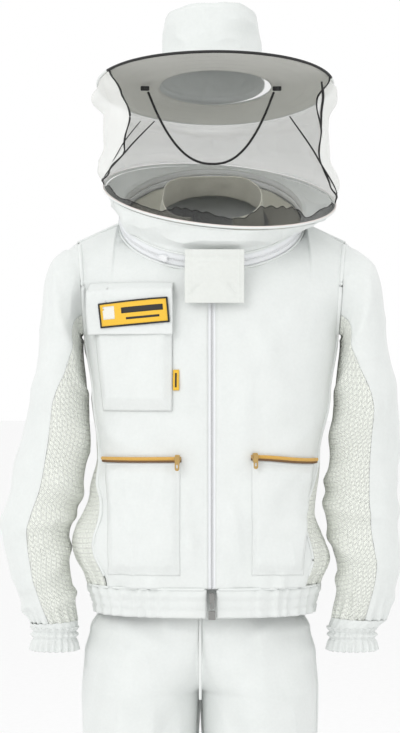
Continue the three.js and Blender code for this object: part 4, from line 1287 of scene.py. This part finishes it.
tab_top = {side: brim_under(x, TAB_Y) - 4.5 for side, x in CORD_X.items()}
route = []
for i in range(13):
    t = i / 6 - 1
    side, reach = ("right" if t < 0 else "left"), abs(t)
    end = tab_top[side] - 7 - 0.6 - CORD_D / 2
    route.append(
        (
            lerp(LOW_POINT[0], CORD_END_X[side], reach**0.95 * 0.985 + 0.015 * reach),
            lerp(TAB_Y, LOW_POINT[1], math.sin(0.5 * math.pi * (1 - reach))),
            lerp(end, LOW_POINT[2], 1 - reach**2.2),
        )
    )
route = [np.array(q) for q in route]
cord_line = np.array([curve_through(route, np.array(t)) for t in np.linspace(0, 1, 90)])
chin = tube(
    "chin_cord_elastic", cord_line, CORD_D / 2, BLACK, body="hood", sides=12, up=(0, 1, 0.3),
)
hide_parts("chin_cord")
for side in CORD_X:
    bevelled_copy(f"cord_tab_{side}", f"cord_tab_{side}_fabric", "hood", 1.2, BLACK)


# ------------------------------------------------------------------ throat flap
def on_sheet(surface, u, v, core, lift):
    p = surface(u, v)
    return p + normals(surface, u, v, core) * (lift[..., None] if np.ndim(lift) else lift)


def flap_face(u, v):
    bulge = 3 * (1 - (2 * u - 1) ** 2)
    return xyz(4 + 92 * (u - 0.5), -130 - lerp(12, 19, v) - bulge, lerp(-144, -61.5, v))


def flap_lift(u, v):
    p = flap_face(u, v)
    total = 0.9 * noise(p, (26, 26, 20), 101)
    for a, b, width, height in (
        (
            (-38, -135), (-14, -112), 4.5, 2.4
        ), ((44, -137), (22, -110), 5.0, 2.6), ((-34, -77), (-12, -92), 4.0, -1.2),
    ):
        total = total + crease(p[..., [0, 2]], a, b, width, height)
    total = total + 1.6 * bell(v - 0.86, 0.045) - 1.0 * bell(v - 0.79, 0.02)
    groove = np.minimum(np.abs(u - 0.09), np.abs(u - 0.91))
    return 2.2 + total - 0.9 * bell(groove, 0.012)


u, v = grid(70, 60)
p = on_sheet(flap_face, u, v, below_core, flap_lift(u, v))
n = normals(flap_face, u, v, below_core)
sheet_mesh("throat_flap_cloth", p, COTTON_FLAP, 2.0, below_core, "throat_flap", body="throat_flap")
for k, column in enumerate((5, 8, -6, -9)):
    stitches(
        f"throat_flap_stitches_{k}", p[2:-2, column], n[2:-2, column], "throat_flap", length=3.0, gap=1.5
    )
stitches("throat_flap_stitches_low", p[3, 5:-5], n[3, 5:-5], "throat_flap")
stitches("throat_flap_stitches_top", p[-13, 4:-4], n[-13, 4:-4], "throat_flap")


# ------------------------------------------------------------------ chest pocket, badge, tag
def chest_outer(z):
    return lerp(-168, -188, (z + 311) / 192)


def patch_normals(p, core):
    du, dv = np.gradient(p, axis=1), np.gradient(p, axis=0)
    n = unit(np.cross(du, dv))
    flip = np.sign(((p - core(p)) * n).sum(-1, keepdims=True))
    return n * np.where(flip == 0, 1, flip)


s, t = grid(44, 60)
z = lerp(-311, -138, t)
x = lerp(chest_outer(z), -61, s)
beside = np.minimum(1, 9 * np.minimum(s, 1 - s))
lift = 2.1 + 10 * np.minimum(beside, np.minimum(1, 9 * t))
p = front_point("right", x, z, lift + 0.8)
n = patch_normals(p, axis_core)
puff = 1.3 * noise(p, (40, 40, 40), 111) * smooth(np.minimum(s, 1 - s) / 0.1) * smooth(t / 0.1)
p = p + n * puff[..., None]
sheet_mesh("chest_pocket_cloth", p, COTTON, 1.7, axis_core, "chest_pocket")
for k, c in enumerate((3, -4)):
    stitches(f"chest_pocket_stitches_{k}", p[3:, c], n[3:, c])
stitches("chest_pocket_stitches_low", p[3, 3:-3], n[3, 3:-3])


def chest_flap_lift(z):
    t = (z + 192) / 80
    return lerp(14.9, 1.6, np.maximum(0, 6 * t - 5))


s, t = grid(50, 40)
z = lerp(-192, -112, t)
x = lerp(chest_outer(z) - 1, -59, s)
p = front_point("right", x, z, chest_flap_lift(z) + 1.4)
n = patch_normals(p, axis_core)
swell = 1.1 * noise(p, (34, 34, 26), 112)
swell = swell + crease(p[..., [0, 2]], (-64, -186), (-88, -150), 5, 1.6) + crease(
    p[..., [0, 2]], (-176, -186), (-158, -160), 5, 1.5
)
p = p + n * swell[..., None]
sheet_mesh("chest_flap_cloth", p, COTTON, 1.8, axis_core, "chest_pocket_flap", body="chest_flap")
for k, c in enumerate((3, -4)):
    stitches(f"chest_flap_stitches_{k}", p[3:-2, c], n[3:-2, c], "chest_flap")
stitches("chest_flap_stitches_low", p[3, 3:-3], n[3, 3:-3], "chest_flap")
stitches("chest_flap_stitches_top", p[-4, 3:-3], n[-4, 3:-3], "chest_flap")


BADGE_X, BADGE_Z, BADGE_TURN = -114, -160, rad(5)


def badge_patch(width, height, lift, columns, rows, cx=0, cz=0):
    """A patch of the given size on the chest flap, its middle at (cx, cz) on the turned badge."""
    s, t = grid(columns, rows)
    a, b = cx + (s - 0.5) * width, cz + (t - 0.5) * height
    c, d = math.cos(BADGE_TURN), math.sin(BADGE_TURN)
    x, z = BADGE_X + a * c - b * d, BADGE_Z + a * d + b * c
    return front_point("right", x, z, chest_flap_lift(z) + lift)


p = badge_patch(100, 37, 4.2, 30, 12)
sheet_mesh("badge_border", p, BADGE_BLACK, 1.1, axis_core, "pocket_badge", body="chest_flap")
p = badge_patch(95, 32, 4.5, 30, 12)
sheet_mesh("badge_field", p, YELLOW, 0.7, axis_core, body="chest_flap")
for k, (cx, cz, w, h) in enumerate(((-36, 3, 16, 19), (12, 4.5, 60, 8.5), (12, -7.5, 48, 3.2))):
    q = badge_patch(w, h, 4.75, 14, 6, cx, cz)
    sheet_mesh(f"badge_bar_{k}", q, BADGE_BLACK if k else BADGE_WHITE, 0.3, axis_core, body="chest_flap")

s, t = grid(6, 14)
x, z = lerp(-59.8, -50.5, s), lerp(-279, -247, t)
p = front_point("right", x, z, 2.6 + 0.6 * np.sin(t * 5))
sheet_mesh("pocket_tag_cloth", p, YELLOW, 1.0, axis_core, "pocket_tag")
s, t = grid(4, 8)
x, z = lerp(-56.4, -53.9, s), lerp(-274, -252, t)
p = front_point("right", x, z, 3.4 + 0.6 * np.sin(lerp(0.16, 0.84, t) * 5))
sheet_mesh("pocket_tag_mark", p, BADGE_BLACK, 0.3, axis_core)


# ------------------------------------------------------------------ lower pockets
LOWER_BOTTOM = -566
POCKET_REACH = {"right": (49, 167, 160), "left": (62, 160, 140)}


def pocket_line(side, s):
    drop = 7 * np.sin(0.5 * np.pi * (1 - s)) ** 2 - 3 if side == "left" else 2 - 2 * s
    return -383 - drop


for side, (near, far, far_below) in POCKET_REACH.items():
    sign = SIGN[side]
    s, t = grid(40, 60)
    z = lerp(LOWER_BOTTOM, pocket_line(side, 1 - s) - 6 - 1, t)
    x = sign * lerp(near, lerp(far_below, far, t), s)
    rim = np.minimum(np.minimum(1, 9 * np.minimum(s, 1 - s)), np.minimum(1, 9 * np.minimum(t, 1 - t)))
    p = front_point(side, x, z, 0.9 + 6.5 * smooth(rim))
    n = patch_normals(p, axis_core)
    soft = (1.8 * noise(p, (40, 40, 50), 121) + 1.6 * ridged(p, (30, 40, 40), 122)) * smooth(rim)
    p = p + n * soft[..., None]
    sheet_mesh(f"lower_pocket_{side}_cloth", p, COTTON, 1.6, axis_core, f"lower_pocket_{side}")
    stitches(f"lower_pocket_{side}_stitches_a", p[2:-2, 2], n[2:-2, 2])
    stitches(f"lower_pocket_{side}_stitches_b", p[2:-2, -3], n[2:-2, -3])
    stitches(f"lower_pocket_{side}_stitches_low", p[2, 2:-2], n[2, 2:-2])
    s = np.linspace(0, 1, 60)
    x = sign * lerp(near - 2, far + 3, s)
    line = pocket_line(side, 1 - s)
    top = front_point(side, x, line - 1.6, 3.4)
    low = front_point(side, x, line - 5.2, 2.4)
    n = patch_normals(np.stack([top, low]), axis_core)[0]
    gold = tube(f"pocket_piping_{side}_gold", top, 2.3, BRASS, sides=10, flat=1.25, up=(0, -1, 0))
    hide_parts(f"pocket_piping_{side}")
    tube(f"pocket_piping_{side}_brown", low, 2.0, BROWN, flat=1.2, up=(0, -1, 0))
    above = front_point(side, x, line + 4.5, 0.4)
    below = front_point(side, x, line - 11.5, 6.6)
    stitches(f"pocket_piping_{side}_stitches_above", above, n)
    stitches(f"pocket_piping_{side}_stitches_below", below, n, lift=1.0)

# ------------------------------------------------------------------ trousers
FOLDS_LEG = {
    "right": [((-60, -690), (-150, -640), 14, 3.5), (
        (-40, -760), (-120, -900), 18, -4.0
    ), ((-70, -1010), (-170, -940), 16, 4.0),
              ((-60, -1180), (-180, -1120), 18, 4.5), ((-80, -1330), (-150, -1400), 16, 4.0), (
                  (-120, -1240), (-180, -1330), 14, -3.0
              )],
    "left": [((20, -690), (110, -640), 14, 3.5), ((10, -760), (90, -900), 18, -4.0), (
        (40, -1010), (140, -930), 16, 4.0
    ),
             ((30, -1190), (150, -1130), 18, 4.5), ((50, -1330), (120, -1400), 16, 4.0), (
                 (90, -1240), (150, -1330), 14, -3.0
             )],
}


def leg_relief(side, back):
    def relief(p):
        z = p[..., 2]
        total = 2.6 * noise(p, (70, 70, 110), 131) + 2.4 * ridged(p, (60, 60, 90), 132) - 1.5
        low = smooth((-1440 - z) / 50)
        total = total + 2.6 * low * np.sin(p[..., 0] / 4.6 + 1.4 * noise(p, (30, 30, 50), 133))
        high = smooth((z + 620) / 40)
        total = total + 1.6 * high * np.sin(p[..., 0] / 4.2 + 1.2 * noise(p, (30, 30, 50), 134))
        if not back:
            for a, b, width, height in FOLDS_LEG[side]:
                total = total + crease(p[..., [0, 2]], a, b, width, height)
        else:
            for a, b, width, height in FOLDS_LEG[side][::2]:
                total = total + crease(p[..., [0, 2]], (a[0], a[1] - 60), (b[0], b[1] - 20), width, height)
        return total

    return relief


for side in ("left", "right"):
    core = leg_core(side)
    for back in (False, True):
        name = f"trouser_{'back' if back else 'front'}_{side}"
        u, v = grid(110, 300, 0.006, 0.995, 0.044, 0.957)
        surface = leg(side, back)
        p = surface(u, v)
        n = normals(surface, u, v, core)
        edge = smooth(np.minimum(u, 1 - u) / 0.03) * smooth((v - 0.04) / 0.01) * smooth((0.96 - v) / 0.01)
        seam = 1.6 * bell(u - 0.975, 0.01) - 1.2 * bell(u - 0.955, 0.008)
        p = p + n * (leg_relief(side, back)(p) * edge + seam)[..., None]
        sheet_mesh(f"{name}_cloth", p, COTTON, 1.8, core, name)
        for c in (-8, -11):
            stitches(f"{name}_stitches_{abs(c)}", p[4:-4, c], n[4:-4, c])
        crotch = int(np.argmin(np.abs(lerp(ANKLE, TROUSER_TOP, v[:, 0]) - CROTCH))) + 2
        for c in (3, 5):
            stitches(f"{name}_centre_{c}", p[crotch:-4, c], n[crotch:-4, c])
        if name == "trouser_front_right":
            rows = np.arange(crotch + 8, len(p) - 6)
            share = (rows - rows[0]) / (rows[-1] - rows[0])
            columns = np.clip(lerp(3, 19, smooth(share / 0.22)), 2, 40).astype(int)
            for shift in (0, 1):
                stitches(f"fly_stitches_{shift}", p[rows, columns + shift], n[rows, columns + shift])


z = np.linspace(CROTCH - 4, TROUSER_TOP - 48, 120)
for name, face in (("front", -1.0), ("back", 1.0)):
    line = xyz(SPLIT_X, face * (through(TROUSER_DEPTH, z) + 0.2), z)
    tube(f"trouser_centre_seam_{name}", line, 2.2, up=(0, 1, 0))

for side in ("left", "right"):
    v = np.linspace(0.045, 0.956, 260)
    line = leg(side, False)(np.ones_like(v), v)
    tube(f"trouser_side_seam_{side}", line, 2.6, up=(0, 1, 0))
    v = np.linspace(0.045, (CROTCH - ANKLE) / (TROUSER_TOP - ANKLE) - 0.002, 160)
    line = leg(side, False)(np.zeros_like(v), v)
    tube(f"trouser_inner_seam_{side}", line, 2.2, up=(0, 1, 0))
    x = np.linspace(NECK_R + 3, SHOULDER_X + 1, 40)
    line = xyz(SIGN[side] * x, 0, -14 - (x - NECK_R) * 0.46 + 0.4)
    tube(f"shoulder_seam_{side}", line, 2.4, up=(0, 1, 0))


def band(name, centre, half, low, high, node, seed, ruffle):
    """An elastic band gathered round an ellipse."""
    turn, t = np.meshgrid(around(360), np.linspace(0, 1, 22))
    p0 = xyz(np.sin(rad(turn)), -np.cos(rad(turn)), 0)
    gather = np.sin(rad(turn) * ruffle + 1.6 * noise(xyz(turn / 14, t * 1.4, 0), 1.0, seed))
    radius = 1 + (0.018 * gather + 0.02 * np.sin(np.pi * t))
    p = xyz(
        centre[0] + half[0] * radius * p0[..., 0], centre[1] + half[1] * radius * p0[..., 1],
        lerp(low, high, t),
    )
    core = lambda q: xyz(centre[0], centre[1], q[..., 2])
    sheet_mesh(name, p, COTTON, 2.0, core, node, closed=True)
    n = unit(p - core(p))
    for row in (3, 10, 18):
        stitches(
            f"{name}_stitches_{row}", np.concatenate([p[row], p[row][:1]]),
            np.concatenate([n[row], n[row][:1]]),
        )


band("trouser_waistband_cloth", (-18, 0), (136, 99), -545, -500, "trouser_waistband", 141, 66)
for side, x in (("left", 76.2), ("right", -112.2)):
    band(f"ankle_band_{side}_cloth", (x, 0), (46.5, 51), -1545, -1499, f"ankle_band_{side}", 142, 30)

# ------------------------------------------------------------------ floor, light, size
def area(name, place, aim, size, watts, colour=(1, 1, 1)):
    lamp = bpy.data.lights.new(name, "AREA")
    lamp.shape = "RECTANGLE"
    lamp.size, lamp.size_y = size
    lamp.energy = watts
    lamp.color = colour
    made = bpy.data.objects.new(name, lamp)
    made.location = place
    made.rotation_euler = (Vector(aim) - Vector(place)).to_track_quat("-Z", "Y").to_euler()
    bpy.context.scene.collection.objects.link(made)
    made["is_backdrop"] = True


area("key_light", (-2.2, -3.2, 1.7), (0, 0, -0.4), (2.2, 2.2), 44)
area("fill_light", (2.8, -2.8, 0.6), (0, 0, -0.5), (2.4, 2.4), 10)
area("top_light", (0.4, 0.6, 2.8), (0, 0, -0.2), (2.0, 2.0), 12)

world = bpy.data.worlds.new("soft_white")
world.use_nodes = True
world.node_tree.nodes["Background"].inputs[0].default_value = (1, 1, 1, 1)
world.node_tree.nodes["Background"].inputs[1].default_value = 1.0
bpy.context.scene.world = world
bpy.context.scene.view_settings.view_transform = "Standard"

FLOOR_HALF, FLOOR_Z = 200, -1.5455
corners = [(x * FLOOR_HALF, y * FLOOR_HALF, 0) for x, y in ((-1, -1), (1, -1), (1, 1), (-1, 1))]
floor_mesh = bpy.data.meshes.new("floor")
floor_mesh.from_pydata(corners, [], [(0, 1, 2, 3)])
floor_mesh.materials.append(plain("floor_paper", (0.95, 0.95, 0.95), 0.9, 0.03, 0.0, contrast=0.02))
floor = bpy.data.objects.new("floor", floor_mesh)
floor.location = (0, 0, FLOOR_Z)
bpy.context.scene.collection.objects.link(floor)
floor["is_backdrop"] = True

final_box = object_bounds()
rows = {"cad": [list(map(float, q)) for q in cad_box], "visual": [list(map(float, q)) for q in final_box]}
